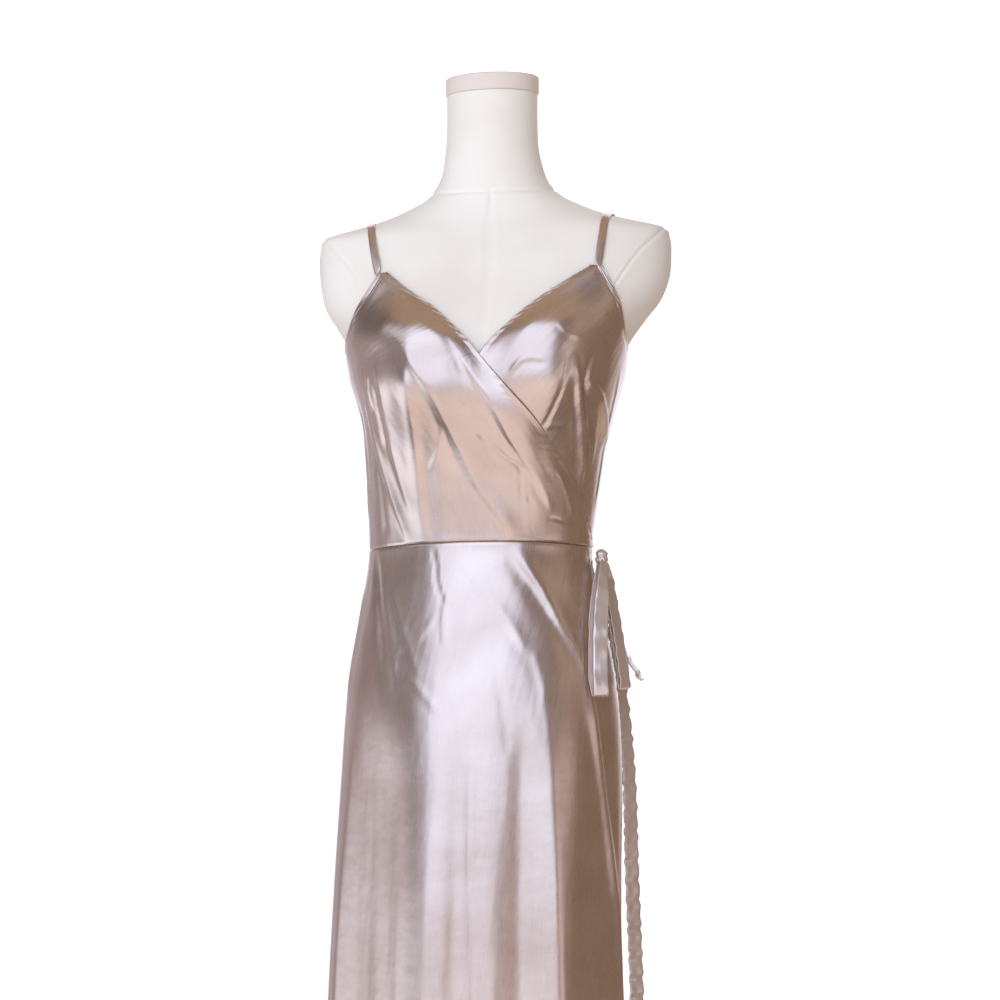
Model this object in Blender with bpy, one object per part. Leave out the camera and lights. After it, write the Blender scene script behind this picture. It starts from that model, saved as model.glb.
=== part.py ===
"""A satin wrap dress with thin straps and a side tie, standing on its limbless dress form.

Metres, +Z up. The front faces -Y and +X is the wearer's left. The origin is on the floor, at the
middle of the stand's base. Every cloth panel is a wall WALL thick, laid on the form's sections and
moved out from them, and neighbouring pieces keep a gap of SEAM.
"""

import math

import bmesh
import bpy
from mathutils import Vector

# Driving dimensions
WALL = 0.0015  # cloth, with its turned hems
SEAM = 0.0003  # gap between pieces that meet
LAYER_1 = 0.0030  # inner face of the cloth that lies next to the form
LAYER_2 = 0.0066  # inner face of the cloth that lies over another panel
LIFT_TURN = 13.0  # degrees over which the outer panel rises from its side seam to LAYER_2
CROSSING_TOP = 1.315  # the outer bodice front lies on the form above this height
WAIST = 1.055  # waist seam at the sides
WAIST_RISE = 0.013  # how much higher it is at the front
HEM = 0.055
APEX = 1.353  # top of the cups, where the straps start
UNDERARM = 1.255
BACK_DIP = 0.018  # the back's top edge at its middle, below the underarm
SIDE_SEAM = 95.0  # degrees round from the front
UNDER_REACH = -30.0  # how far round the skirt's inner front goes under the outer one
STRAP_WIDTH = 0.009
KNOT = (0.0065, 0.0075, 0.0080)  # half sizes: round the waist, outwards, up
POLE_RADIUS = 0.0125
POLE_TOP = 0.7797
BASE_RADIUS = 0.170
BASE_HEIGHT = 0.022
NECK_TOP = 1.550
CAP_HEIGHT = 0.019
TILT = 0.029  # the shoulders rise towards the wearer's left, as a slope
TILT_FROM = 1.12  # no tilt below this height, all of it 0.2 m higher
LEVEL_BELOW = 1.11  # 40 mm below this height, cloth is moved out level, so that seams meet

# Level sections of the form: height, half width, depth to the front and to the back of the middle,
# how square the outline is (2 is an ellipse), and how far the section leans to +X.
FORM = (
    # z, half_width, front, back, squareness, lean
    (0.780, 0.1000, 0.0750, 0.080, 2.10, 0.000),
    (0.785, 0.1180, 0.0900, 0.096, 2.10, 0.000),
    (0.800, 0.1300, 0.1000, 0.107, 2.10, 0.000),
    (0.840, 0.1340, 0.1020, 0.112, 2.10, -0.001),
    (0.880, 0.1330, 0.1010, 0.110, 2.10, -0.002),
    (0.930, 0.1290, 0.0970, 0.102, 2.10, -0.002),
    (0.980, 0.1220, 0.0910, 0.092, 2.10, -0.002),
    (1.030, 0.1165, 0.0860, 0.083, 2.10, -0.003),
    (1.060, 0.1155, 0.0840, 0.080, 2.10, -0.003),
    (1.100, 0.1190, 0.0870, 0.085, 2.15, -0.001),
    (1.135, 0.1220, 0.0900, 0.092, 2.20, 0.001),
    (1.170, 0.1260, 0.0940, 0.098, 2.25, 0.003),
    (1.200, 0.1320, 0.0970, 0.103, 2.30, 0.005),
    (1.240, 0.1435, 0.1000, 0.107, 2.30, 0.005),
    (1.270, 0.1495, 0.1010, 0.110, 2.30, 0.005),
    (1.300, 0.1680, 0.0980, 0.111, 2.35, 0.007),
    (1.320, 0.1820, 0.0940, 0.109, 2.40, 0.009),
    (1.345, 0.1900, 0.0870, 0.105, 2.50, 0.011),
    (1.370, 0.1920, 0.0780, 0.097, 2.50, 0.011),
    (1.388, 0.1905, 0.0690, 0.087, 2.50, 0.011),
    (1.400, 0.1830, 0.0630, 0.078, 2.50, 0.010),
    (1.410, 0.1440, 0.0580, 0.070, 2.40, 0.010),
    (1.418, 0.1170, 0.0550, 0.065, 2.30, 0.010),
    (1.428, 0.0930, 0.0520, 0.059, 2.20, 0.010),
    (1.438, 0.0740, 0.0500, 0.054, 2.10, 0.010),
    (1.450, 0.0630, 0.0490, 0.051, 2.00, 0.009),
    (1.465, 0.0560, 0.0475, 0.049, 2.00, 0.009),
    (1.490, 0.0510, 0.0460, 0.047, 2.00, 0.008),
    (1.520, 0.0495, 0.0455, 0.046, 2.00, 0.008),
    (1.550, 0.0495, 0.0455, 0.046, 2.00, 0.008),
)
# The same for the skirt, before its folds.
SKIRT = (
    # z, half_width, front, back, squareness, lean
    (0.055, 0.1687, 0.1321, 0.1444, 2.0, -0.006),
    (0.200, 0.1661, 0.1286, 0.1397, 2.0, -0.007),
    (0.400, 0.1616, 0.1244, 0.1330, 2.0, -0.008),
    (0.590, 0.1554, 0.1198, 0.1273, 2.0, -0.008),
    (0.700, 0.1510, 0.1170, 0.1245, 2.0, -0.006),
    (0.800, 0.1472, 0.1127, 0.1218, 2.0, -0.003),
    (0.880, 0.1425, 0.1074, 0.1165, 2.1, -0.002),
    (0.930, 0.1370, 0.1011, 0.1071, 2.1, -0.002),
    (0.980, 0.1280, 0.0940, 0.0960, 2.1, -0.002),
    (1.030, 0.1180, 0.0870, 0.0850, 2.1, -0.003),
    (1.060, 0.1155, 0.0840, 0.0800, 2.1, -0.003),
    (1.100, 0.1190, 0.0870, 0.0850, 2.1, -0.001),
)
# Both bust mounds: distance from the middle, height, spread sideways, up and down, and how far out.
BUST = {"x": 0.077, "z": 1.242, "wide": 0.050, "up": 0.055, "down": 0.045, "out": 0.034}
# The skirt's folds: where round the body, how far they spread to each side in degrees, how deep
# they are at the hem, and where they start.
FOLDS = (
    # angle, left, right, depth, top_z
    (-73, 12, 11, 0.019, 0.95),
    (-17, 15, 9, 0.023, 0.95),
    (6, 7, 8, 0.012, 0.92),
    (37, 11, 12, 0.025, 0.96),
    (74, 10, 12, 0.014, 0.96),
    (112, 13, 13, 0.020, 0.94),
    (146, 13, 12, 0.018, 0.92),
    (180, 12, 14, 0.022, 0.90),
    (212, 13, 12, 0.019, 0.93),
    (246, 14, 12, 0.021, 0.94),
)
FOLD_VALLEY = 0.09  # how much of every fold's depth the whole skirt goes in, to keep its girth
FOLD_EARLY = 0.6  # share of the depth that a fold has a third of the way down
# The fronts' free edges, from the cup's apex past the middle to the waist: how far each is to the
# other side of the middle.
CROSSOVER = (
    # z, over_x, under_x
    (1.055, 0.1145, 0.1145),
    (1.075, 0.1120, 0.1120),
    (1.095, 0.1070, 0.1070),
    (1.117, 0.1000, 0.1000),
    (1.144, 0.0850, 0.0850),
    (1.166, 0.0730, 0.0730),
    (1.187, 0.0605, 0.0605),
    (1.207, 0.0460, 0.0460),
    (1.238, 0.0190, 0.0190),
    (1.272, -0.0110, -0.0060),
    (1.294, -0.0330, -0.0270),
    (1.313, -0.0535, -0.0475),
    (1.334, -0.0840, -0.0760),
    (1.353, -0.1080, -0.1060),
)
# The armhole's edge, as degrees round from the front, up to the strap.
ARMHOLE = (
    # z, angle
    (1.255, SIDE_SEAM),
    (1.271, 80.0),
    (1.2875, 63.5),
    (1.309, 50.5),
    (1.330, 40.5),
    (1.353, 32.8),
)
# A strap's run over the shoulder: degrees up from the front, and how far the wearer's right and
# left strap are from the shoulders' middle.
STRAP = (
    # turn, right_x, left_x
    (50, 0.1100, 0.1080),
    (62, 0.1160, 0.1130),
    (75, 0.1275, 0.1200),
    (92, 0.1350, 0.1270),
    (115, 0.1270, 0.1200),
    (140, 0.1060, 0.1030),
    (170, 0.0850, 0.0850),
)
SHOULDER_LEAN = 0.0105  # how far the shoulders' middle is to +X
STRAP_GAP = 0.0022  # between a strap's square ends and the edges that they are sewn to
STRAP_CENTRE = 1.20  # the turn is measured round this height
STRAP_LIFT = 0.0012  # how close a strap comes to the shoulder
STRAP_SETTLES = 0.22  # share of its length over which it comes down to the shoulder
STRAP_SEWN = 0.26  # where it is sewn to the back's top edge, from the middle, as a share of its width
# Each tie end as its middle line: height, degrees round the waist, distance outside the skirt's
# sections, the direction of its width in plan (0 is along +X) and its width there.
LOOP_FRONT = (
    # z, angle, out, yaw, width
    (1.0415, 76, 0.0200, 60, 0.009),
    (1.0300, 71, 0.0230, 40, 0.013),
    (1.0000, 63, 0.0245, 25, 0.016),
    (0.9600, 57, 0.0240, 20, 0.016),
    (0.9200, 54, 0.0240, 18, 0.016),
    (0.9060, 54, 0.0230, 18, 0.016),
    (0.9040, 54, 0.0210, 18, 0.016),
    (0.9070, 54, 0.0185, 18, 0.016),
    (0.9250, 54, 0.0170, 20, 0.016),
    (0.9600, 57, 0.0170, 22, 0.016),
    (1.0000, 63, 0.0175, 28, 0.016),
    (1.0300, 71, 0.0175, 45, 0.012),
    (1.0415, 75, 0.0160, 60, 0.009),
)
LOOP_BACK = (
    # z, angle, out, yaw, width
    (1.0415, 83, 0.0200, 75, 0.008),
    (1.0300, 84, 0.0220, 65, 0.012),
    (1.0000, 83, 0.0205, 58, 0.017),
    (0.9600, 82, 0.0190, 55, 0.017),
    (0.9200, 82, 0.0185, 52, 0.017),
    (0.9080, 82, 0.0180, 52, 0.017),
    (0.9060, 82, 0.0165, 52, 0.017),
    (0.9085, 82, 0.0150, 55, 0.017),
    (0.9250, 82, 0.0140, 62, 0.017),
    (0.9600, 82, 0.0140, 66, 0.017),
    (1.0000, 83, 0.0150, 70, 0.016),
    (1.0300, 84, 0.0160, 78, 0.012),
    (1.0415, 84, 0.0160, 85, 0.008),
)
TAIL_SHORT = (
    # z, angle, out, yaw, width
    (1.0415, 90, 0.0180, 95, 0.008),
    (1.0200, 97, 0.0190, 95, 0.013),
    (0.9900, 100, 0.0180, 90, 0.016),
    (0.9600, 99, 0.0180, 85, 0.017),
    (0.9400, 97, 0.0220, 80, 0.017),
    (0.9200, 96, 0.0310, 75, 0.017),
    (0.9120, 96, 0.0350, 75, 0.014),
)
TAIL_LONG = (
    # z, angle, out, yaw, width
    (1.0415, 90, 0.0120, 95, 0.008),
    (1.0200, 97, 0.0130, 95, 0.013),
    (0.9900, 101, 0.0120, 90, 0.017),
    (0.9400, 102, 0.0110, 80, 0.017),
    (0.8800, 98, 0.0115, 72, 0.017),
    (0.8000, 95, 0.0130, 63, 0.017),
    (0.7000, 92, 0.0145, 55, 0.017),
    (0.6000, 91, 0.0165, 50, 0.017),
    (0.5000, 91, 0.0165, 52, 0.017),
    (0.4100, 91, 0.0165, 55, 0.017),
)

CLOTH_COLUMNS = 14
CLOTH_ROWS = 17
SKIRT_ROWS = 14
STRAP_ROWS = 28
TORSO_COLUMNS = 36


def ease(t):
    """Rises smoothly from 0 to 1 as t does."""
    t = min(1.0, max(0.0, t))
    return t * t * (3 - 2 * t)


def between(table, at):
    """A table's other columns where its first column is at, on a smooth curve through its rows."""
    keys = [line[0] for line in table]
    if at <= keys[0]:
        return table[0][1:]
    if at >= keys[-1]:
        return table[-1][1:]
    i = max(k for k in range(len(keys) - 1) if keys[k] <= at)
    step = keys[i + 1] - keys[i]
    t = (at - keys[i]) / step

    def slope(k, column):
        low, high = max(k - 1, 0), min(k + 1, len(keys) - 1)
        return (table[high][column] - table[low][column]) / (keys[high] - keys[low])

    return tuple(
        (2 * t**3 - 3 * t**2 + 1) * table[i][c]
        + (t**3 - 2 * t**2 + t) * slope(i, c) * step
        + (3 * t**2 - 2 * t**3) * table[i + 1][c]
        + (t**3 - t**2) * slope(i + 1, c) * step
        for c in range(1, len(table[0]))
    )


def bust(x, z):
    """How far the bust stands out of the plain section in front of x, z."""
    spread = BUST["up"] if z > BUST["z"] else BUST["down"]
    sides = sum(math.exp(-(((x - side * BUST["x"]) / BUST["wide"]) ** 2) / 2) for side in (-1, 1))
    return BUST["out"] * sides * math.exp(-(((z - BUST["z"]) / spread) ** 2) / 2)


def section_point(sections, angle, z):
    """The point of the level section at z that is angle degrees round from the front."""
    half_width, front, back, squareness, lean = between(sections, z)
    s, c = math.sin(math.radians(angle)), math.cos(math.radians(angle))
    x = math.copysign(half_width * abs(s) ** (2 / squareness), s)
    y = -math.copysign((front if c > 0 else back) * abs(c) ** (2 / squareness), c)
    y -= bust(x, z) * min(1.0, max(0.0, 2 * c))
    return Vector((x + lean, y, z + TILT * x * ease((z - TILT_FROM) / 0.2)))


def outside(sections, angle, z, out):
    """The same point, moved out squarely by out. From the waist down it keeps its height."""
    round_it = section_point(sections, angle + 0.05, z) - section_point(sections, angle - 0.05, z)
    up_it = section_point(sections, angle, z + 0.001) - section_point(sections, angle, z - 0.001)
    direction = round_it.cross(up_it).normalized()
    direction.z *= 1 - ease((LEVEL_BELOW - z) / 0.04)
    return section_point(sections, angle, z) + direction.normalized() * out


def fold(angle, z):
    """How far the skirt's folds stand out of its sections."""
    total = 0.0
    for centre, left, right, depth, top in FOLDS:
        away = (angle - centre + 180) % 360 - 180
        spread = left if away < 0 else right
        down = max(0.0, (top - z) / (top - HEM))
        growth = FOLD_EARLY * ease(3 * down) + (1 - FOLD_EARLY) * down
        total += depth * growth * (math.exp(-((away / spread) ** 2) / 2) - FOLD_VALLEY)
    return total


def waist_height(angle):
    """The waist seam, which rises over the front."""
    return WAIST + WAIST_RISE * max(0.0, math.cos(math.radians(angle - 10))) ** 1.3


def angle_at(x, z):
    """Degrees round from the front of the form's section at z, where it is x from the middle."""
    half_width, squareness = between(FORM, z)[0], between(FORM, z)[3]
    turn = math.degrees(math.asin(min(1.0, abs(x) / half_width) ** (squareness / 2)))
    return math.copysign(turn, x)


def over_layer(angle, z):
    """Inner face of a panel that lies over another one, and comes in to the form at its side."""
    side = ease((angle + SIDE_SEAM) / LIFT_TURN)
    cup = ease((CROSSING_TOP - z) / 0.04)
    return LAYER_1 + (LAYER_2 - LAYER_1) * side * cup


def seam_angle(half_width):
    """Half of the gap at a side seam, in degrees."""
    return math.degrees(SEAM / 2 / half_width)


def material(name, colour, roughness, metallic=0.0):
    """A Principled material of one colour."""
    made = bpy.data.materials.new(name)
    made.use_nodes = True
    shader = made.node_tree.nodes["Principled BSDF"]
    shader.inputs["Base Color"].default_value = (*colour, 1)
    shader.inputs["Roughness"].default_value = roughness
    shader.inputs["Metallic"].default_value = metallic
    return made


def keep(mesh_data, name, finish):
    """Turns a bmesh into a named object with its material."""
    mesh = bpy.data.meshes.new(name)
    mesh_data.to_mesh(mesh)
    mesh_data.free()
    mesh.materials.append(finish)
    mesh.shade_smooth()
    mesh.set_sharp_from_angle(angle=math.radians(40))
    made = bpy.data.objects.new(name, mesh)
    bpy.context.scene.collection.objects.link(made)
    return made


def sheet(name, columns, rows, place, finish):
    """A wall of cloth. Place lays out a grid from 0, 0 to 1, 1, at a distance out of its inner face."""
    wall = bmesh.new()
    for out in (0, WALL):
        grid = bmesh.ops.create_grid(wall, x_segments=columns, y_segments=rows, size=0.5)
        for vertex in grid["verts"]:
            vertex.co = place(vertex.co.x + 0.5, vertex.co.y + 0.5, out)
    bmesh.ops.bridge_loops(wall, edges=[edge for edge in wall.edges if edge.is_boundary])
    wall.normal_update()
    bmesh.ops.recalc_face_normals(wall, faces=wall.faces)
    return keep(wall, name, finish)


def bodice_front(name, side, layer, columns, finish):
    """One front of the bodice. Side -1 is the wearer's right, and 1 the wearer's left."""

    def place(u, v, out):
        z = WAIST + SEAM / 2 + (APEX - WAIST) * v
        armhole = between(ARMHOLE, z)[0] - seam_angle(0.15)
        edge = angle_at(between(CROSSOVER, z)[0 if side < 0 else 1], z)
        along = u if side < 0 else 1 - u
        angle = -side * (-armhole + (edge + armhole) * along)
        z += (waist_height(angle) - WAIST) * (1 - v) ** 2
        return outside(FORM, angle, z, layer(angle, z) + out)

    return sheet(name, columns, CLOTH_ROWS, place, finish)


def bodice_back(finish):
    """The plain back, straight across from underarm to underarm."""
    first = SIDE_SEAM + seam_angle(0.15)

    def place(u, v, out):
        angle = first + (360 - 2 * first) * u
        top = UNDERARM - BACK_DIP * (1 - abs(2 * u - 1) ** 2.5)
        bottom = waist_height(angle) + SEAM / 2
        return outside(FORM, angle, bottom + (top - bottom) * v, LAYER_1 + out)

    return sheet("bodice_back", CLOTH_COLUMNS, CLOTH_ROWS - 5, place, finish)


def skirt_panel(name, start, end, layer, columns, finish):
    """A skirt panel from start to end, each a function of how far down the skirt it is."""

    def place(u, v, out):
        angle = start(1 - v) + (end(1 - v) - start(1 - v)) * u
        top = waist_height(angle) - SEAM / 2
        z = HEM + (top - HEM) * v
        return outside(SKIRT, angle, z, layer(angle, z) + fold(angle, z) + out)

    return sheet(name, columns, SKIRT_ROWS, place, finish)


def wrap_edge(down):
    """The skirt's free edge, which drops just in front of the side seam."""
    return 80 + 8 * ease(down * 4)


def in_form(x, y, z):
    """Below 0 inside the form, and above 0 outside it."""
    low = z
    for _ in range(3):
        half_width, front, back, squareness, lean = between(FORM, low)
        low = z - TILT * (x - lean) * ease((low - TILT_FROM) / 0.2)
    side = x - lean
    depth = (front if y < 0 else back) + (bust(side, low) if y < 0 else 0)
    return abs(side / half_width) ** squareness + abs(y / depth) ** squareness - 1


def on_shoulder(x, turn):
    """Where the ray that is turn degrees up from the front leaves the form, at x."""
    along = Vector((0, -math.cos(math.radians(turn)), math.sin(math.radians(turn))))
    near, far = 0.01, 0.30
    for _ in range(40):
        middle = (near + far) / 2
        point = Vector((x, 0, STRAP_CENTRE)) + along * middle
        if in_form(*point) < 0:
            near = middle
        else:
            far = middle
    return Vector((x, 0, STRAP_CENTRE)) + along * near


def form_normal(point):
    """The direction straight out of the form at a point on it."""
    step = 0.0005
    away = [
        in_form(*(point + Vector(axis) * step)) - in_form(*(point - Vector(axis) * step))
        for axis in ((1, 0, 0), (0, 1, 0), (0, 0, 1))
    ]
    return Vector(away).normalized()


def on_strap(side, turn):
    """The point under a strap's middle line at a turn."""
    return on_shoulder(side * between(STRAP, turn)[0 if side < 0 else 1] + SHOULDER_LEAN, turn)


def turn_at_height(side, height, low, high):
    """The turn where a strap is at a height, between a low turn and a high one."""
    rising = on_strap(side, low).z < height
    for _ in range(30):
        middle = (low + high) / 2
        if (on_strap(side, middle).z < height) == rising:
            low = middle
        else:
            high = middle
    return low


def strap(name, side, finish):
    """A thin strap over one shoulder, from the cup's apex to the back's top edge."""
    front_tip = APEX + side * TILT * STRAP[1][1 if side < 0 else 2] + STRAP_GAP
    back_u = 0.5 - side * STRAP_SEWN
    back_tip = UNDERARM - BACK_DIP * (1 - abs(2 * back_u - 1) ** 2.5) + 2 * STRAP_GAP
    first = turn_at_height(side, front_tip, 45, 90)
    last = turn_at_height(side, back_tip, 100, 172)

    def place(u, v, out):
        turn = first + (last - first) * v
        centre = on_strap(side, turn)
        ahead = on_strap(side, turn + 1)
        normal = form_normal(centre)
        across = normal.cross(ahead - centre).normalized()
        near_end = ease((STRAP_SETTLES - v) / 0.2) + ease((v - 1 + STRAP_SETTLES) / 0.2)
        lift = STRAP_LIFT + (LAYER_1 - STRAP_LIFT) * near_end
        return centre + normal * (lift + out) - across * STRAP_WIDTH * (u - 0.5)

    return sheet(name, 2, STRAP_ROWS, place, finish)


def tie_end(name, table, rows, finish):
    """A stretch of the tie, laid along a table's middle line."""
    lengths = [0.0]
    points = [outside(SKIRT, line[1], line[0], line[2]) for line in table]
    for before, after in zip(points, points[1:]):
        lengths.append(lengths[-1] + (after - before).length)
    line = tuple(
        (length, *point, yaw, width)
        for length, point, (_, _, _, yaw, width) in zip(lengths, points, table)
    )

    def place(u, v, out):
        x, y, z, yaw, width = between(line, lengths[-1] * v)
        ahead = Vector(between(line, lengths[-1] * v + 0.001)[:3])
        behind = Vector(between(line, lengths[-1] * v - 0.001)[:3])
        across = Vector((math.cos(math.radians(yaw)), math.sin(math.radians(yaw)), 0))
        normal = across.cross(behind - ahead).normalized()
        return Vector((x, y, z)) + across * width * (u - 0.5) + normal * (out - WALL / 2)

    return sheet(name, 2, rows, place, finish)


def tie_knot(finish):
    """The tie's small round knot at the crossover's lower corner."""
    knot = bmesh.new()
    bmesh.ops.create_uvsphere(knot, u_segments=14, v_segments=9, radius=1)
    angle = 79.0
    centre = outside(SKIRT, angle, WAIST - 0.004, LAYER_2 + WALL + KNOT[1] + 0.002)
    tangent = Vector((math.cos(math.radians(angle)), math.sin(math.radians(angle)), 0))
    outward = Vector((tangent.y, -tangent.x, 0))
    for vertex in knot.verts:
        flat = vertex.co
        squeeze = 1 - 0.18 * math.exp(-((flat.z / 0.35) ** 2))
        vertex.co = (
            centre
            + tangent * flat.x * KNOT[0] * squeeze
            - outward * flat.y * KNOT[1]
            + Vector((0, 0, flat.z * KNOT[2]))
        )
    return keep(knot, "tie_knot", finish)


def lofted(name, rings, finish):
    """A closed body through rings of points, with a flat face on each end."""
    body = bmesh.new()
    loops = [[body.verts.new(point) for point in ring] for ring in rings]
    for low, high in zip(loops, loops[1:]):
        for i in range(len(low)):
            j = (i + 1) % len(low)
            body.faces.new((low[i], low[j], high[j], high[i]))
    body.faces.new(reversed(loops[0]))
    body.faces.new(loops[-1])
    return keep(body, name, finish)


def form_torso(finish):
    """The covered torso, from its flat underside to the top of the neck."""
    heights = []
    for low, high in zip(FORM, FORM[1:]):
        parts = 2 if high[0] - low[0] > 0.045 else 1
        heights += [low[0] + (high[0] - low[0]) * k / parts for k in range(parts)]
    heights.append(NECK_TOP)
    angles = [360 * i / TORSO_COLUMNS for i in range(TORSO_COLUMNS)]
    rings = [[section_point(FORM, angle, z) for angle in angles] for z in heights]
    return lofted("form_torso", rings, finish)


def form_neck_cap(finish):
    """The cap on the neck, with a softened top edge."""
    bottom = NECK_TOP + SEAM
    steps = (
        # height above the neck, growth of the radius
        (0.0, 0.0006),
        (CAP_HEIGHT - 0.0025, 0.0006),
        (CAP_HEIGHT - 0.0007, -0.0004),
        (CAP_HEIGHT, -0.0022),
    )
    rings = []
    for rise, grow in steps:
        ring = []
        for i in range(TORSO_COLUMNS):
            point = section_point(FORM, 360 * i / TORSO_COLUMNS, NECK_TOP)
            middle = Vector((FORM[-1][5], 0, point.z))
            spread = (point - middle).normalized() * grow
            ring.append(point + spread + Vector((0, 0, bottom - NECK_TOP + rise)))
        rings.append(ring)
    return lofted("form_neck_cap", rings, finish)


def turned(name, profile, segments, finish):
    """A round body on the Z axis through rings of radius and height."""
    rings = []
    for radius, z in profile:
        turns = [2 * math.pi * i / segments for i in range(segments)]
        rings.append([Vector((radius * math.sin(t), -radius * math.cos(t), z)) for t in turns])
    return lofted(name, rings, finish)


def build():
    """Clears the scene and models every piece."""
    for old in list(bpy.data.objects):
        bpy.data.objects.remove(old, do_unlink=True)
    satin = material("Champagne satin", (0.60, 0.47, 0.43), 0.32, 0.25)
    jersey = material("Cream jersey", (0.86, 0.84, 0.78), 0.85)
    cap_cloth = material("Pale cap", (0.74, 0.66, 0.60), 0.7)
    steel = material("Brushed steel", (0.62, 0.61, 0.60), 0.35, 1.0)

    bodice_front("bodice_front_over", -1, over_layer, CLOTH_COLUMNS + 2, satin)
    bodice_front("bodice_front_under", 1, lambda angle, z: LAYER_1, CLOTH_COLUMNS, satin)
    bodice_back(satin)

    side = SIDE_SEAM - seam_angle(0.12)
    back_side = SIDE_SEAM + seam_angle(0.12)
    skirt_panel("skirt_front_over", lambda down: -side, wrap_edge, over_layer, 26, satin)
    skirt_panel(
        "skirt_front_under",
        lambda down: UNDER_REACH,
        lambda down: side,
        lambda angle, z: LAYER_1,
        16,
        satin,
    )
    skirt_panel(
        "skirt_back",
        lambda down: back_side,
        lambda down: 360 - back_side,
        lambda angle, z: LAYER_1,
        24,
        satin,
    )
    strap("strap_right", -1, satin)
    strap("strap_left", 1, satin)
    tie_knot(satin)
    tie_end("tie_loop_front", LOOP_FRONT, 34, satin)
    tie_end("tie_loop_back", LOOP_BACK, 34, satin)
    tie_end("tie_tail_short", TAIL_SHORT, 14, satin)
    tie_end("tie_tail_long", TAIL_LONG, 30, satin)

    form_torso(jersey)
    form_neck_cap(cap_cloth)
    turned("stand_pole", ((POLE_RADIUS, BASE_HEIGHT + SEAM), (POLE_RADIUS, POLE_TOP)), 24, steel)
    rim = ((BASE_RADIUS - 0.002, 0.0), (BASE_RADIUS, 0.002), (BASE_RADIUS, BASE_HEIGHT - 0.004))
    top = ((BASE_RADIUS - 0.004, BASE_HEIGHT), (0.02, BASE_HEIGHT))
    turned("stand_base", rim + top, 48, steel)


build()
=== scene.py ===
# %% [markdown]
# # A satin wrap dress on its form
#
# This lesson dresses an imported CAD model of a floor-length bridesmaid dress. The model gives the
# places and the sizes, and every visible surface is made again here with finer cloth, seams,
# creases and finishes. First the model is loaded.

# %% Load the model
import math

import bmesh
import bpy
import numpy as np
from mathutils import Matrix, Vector


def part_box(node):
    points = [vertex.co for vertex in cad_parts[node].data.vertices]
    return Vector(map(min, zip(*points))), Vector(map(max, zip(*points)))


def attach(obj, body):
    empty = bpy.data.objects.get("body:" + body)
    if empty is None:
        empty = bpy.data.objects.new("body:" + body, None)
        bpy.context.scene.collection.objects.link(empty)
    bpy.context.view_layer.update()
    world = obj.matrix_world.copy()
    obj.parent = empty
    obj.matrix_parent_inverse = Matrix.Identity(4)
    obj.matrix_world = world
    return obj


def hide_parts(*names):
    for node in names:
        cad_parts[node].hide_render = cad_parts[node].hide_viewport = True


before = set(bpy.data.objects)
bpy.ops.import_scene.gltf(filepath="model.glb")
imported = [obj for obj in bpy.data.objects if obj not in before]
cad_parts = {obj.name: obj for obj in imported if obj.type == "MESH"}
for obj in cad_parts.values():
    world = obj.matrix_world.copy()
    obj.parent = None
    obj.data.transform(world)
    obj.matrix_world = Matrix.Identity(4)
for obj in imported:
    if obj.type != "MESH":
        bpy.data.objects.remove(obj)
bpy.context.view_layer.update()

# %% [markdown]
# ## The camera
#
# A dress is best seen from the height of the chest, from far enough away that the shoulders and
# the skirt keep their true proportions. So the lens is long, the camera is level, and a small
# shift frames the dress without tipping the camera, which would make the sides converge.

# %% Camera
CAMERA_TURN = 4.5  # degrees round to the wearer's left
CAMERA_AWAY = 2.4
CAMERA_HEIGHT = 1.155
LENS = 79.13  # mm, on a sensor 36 mm wide
SENSOR = 36.0
SHIFT = (0.015, -0.042)  # parts of the picture's width

camera_data = bpy.data.cameras.new("camera")
camera_data.lens = LENS
camera_data.sensor_width = SENSOR
camera_data.shift_x, camera_data.shift_y = SHIFT
camera = bpy.data.objects.new("camera", camera_data)
turn = math.radians(CAMERA_TURN)
camera.location = (math.sin(turn) * CAMERA_AWAY, -math.cos(turn) * CAMERA_AWAY, CAMERA_HEIGHT)
camera.rotation_euler = (math.radians(90), 0, turn)
bpy.context.scene.collection.objects.link(camera)
bpy.context.scene.camera = camera
bpy.context.scene.view_settings.view_transform = "Standard"
print("camera at", [round(value, 3) for value in camera.location])

# %% [markdown]
# ## Colours and nodes
#
# Colours are written the way a designer reads them off a swatch, as sRGB hex values. Blender
# mixes light in linear values, so one function turns a swatch into those. A second function adds
# a shader node, sets it and joins it to what feeds it. Every finish below is made with these two.

# %% Colour and node helpers
def linear(swatch):
    """Linear RGBA of an sRGB hex colour."""
    channels = [int(swatch[i : i + 2], 16) / 255 for i in (1, 3, 5)]
    return (*[c / 12.92 if c <= 0.04045 else ((c + 0.055) / 1.055) ** 2.4 for c in channels], 1.0)


def add(tree, kind, settings, links=()):
    """Adds a shader node. Settings are its properties or inputs, links are (input, output) pairs."""
    made = tree.nodes.new("ShaderNode" + kind)
    for name, value in settings.items():
        if isinstance(name, str) and hasattr(made, name):
            setattr(made, name, value)
        else:
            made.inputs[name].default_value = value
    for name, output in links:
        tree.links.new(output, made.inputs[name])
    return made


def ramp(tree, source, stops):
    """A colour ramp fed by source, with its stops as (position, swatch)."""
    made = add(tree, "ValToRGB", {}, [("Fac", source)])
    first, *rest = stops
    made.color_ramp.elements.remove(made.color_ramp.elements[1])
    made.color_ramp.elements[0].position = first[0]
    made.color_ramp.elements[0].color = linear(first[1])
    for position, swatch in rest:
        made.color_ramp.elements.new(position).color = linear(swatch)
    return made.outputs["Color"]


def finish(name, **settings):
    """A new material, its node tree and its shader with the settings that are the same all over."""
    made = bpy.data.materials.new(name)
    made.use_nodes = True
    shader = made.node_tree.nodes["Principled BSDF"]
    for socket, value in settings.items():
        shader.inputs[socket.replace("_", " ")].default_value = value
    return made, made.node_tree, shader


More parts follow.
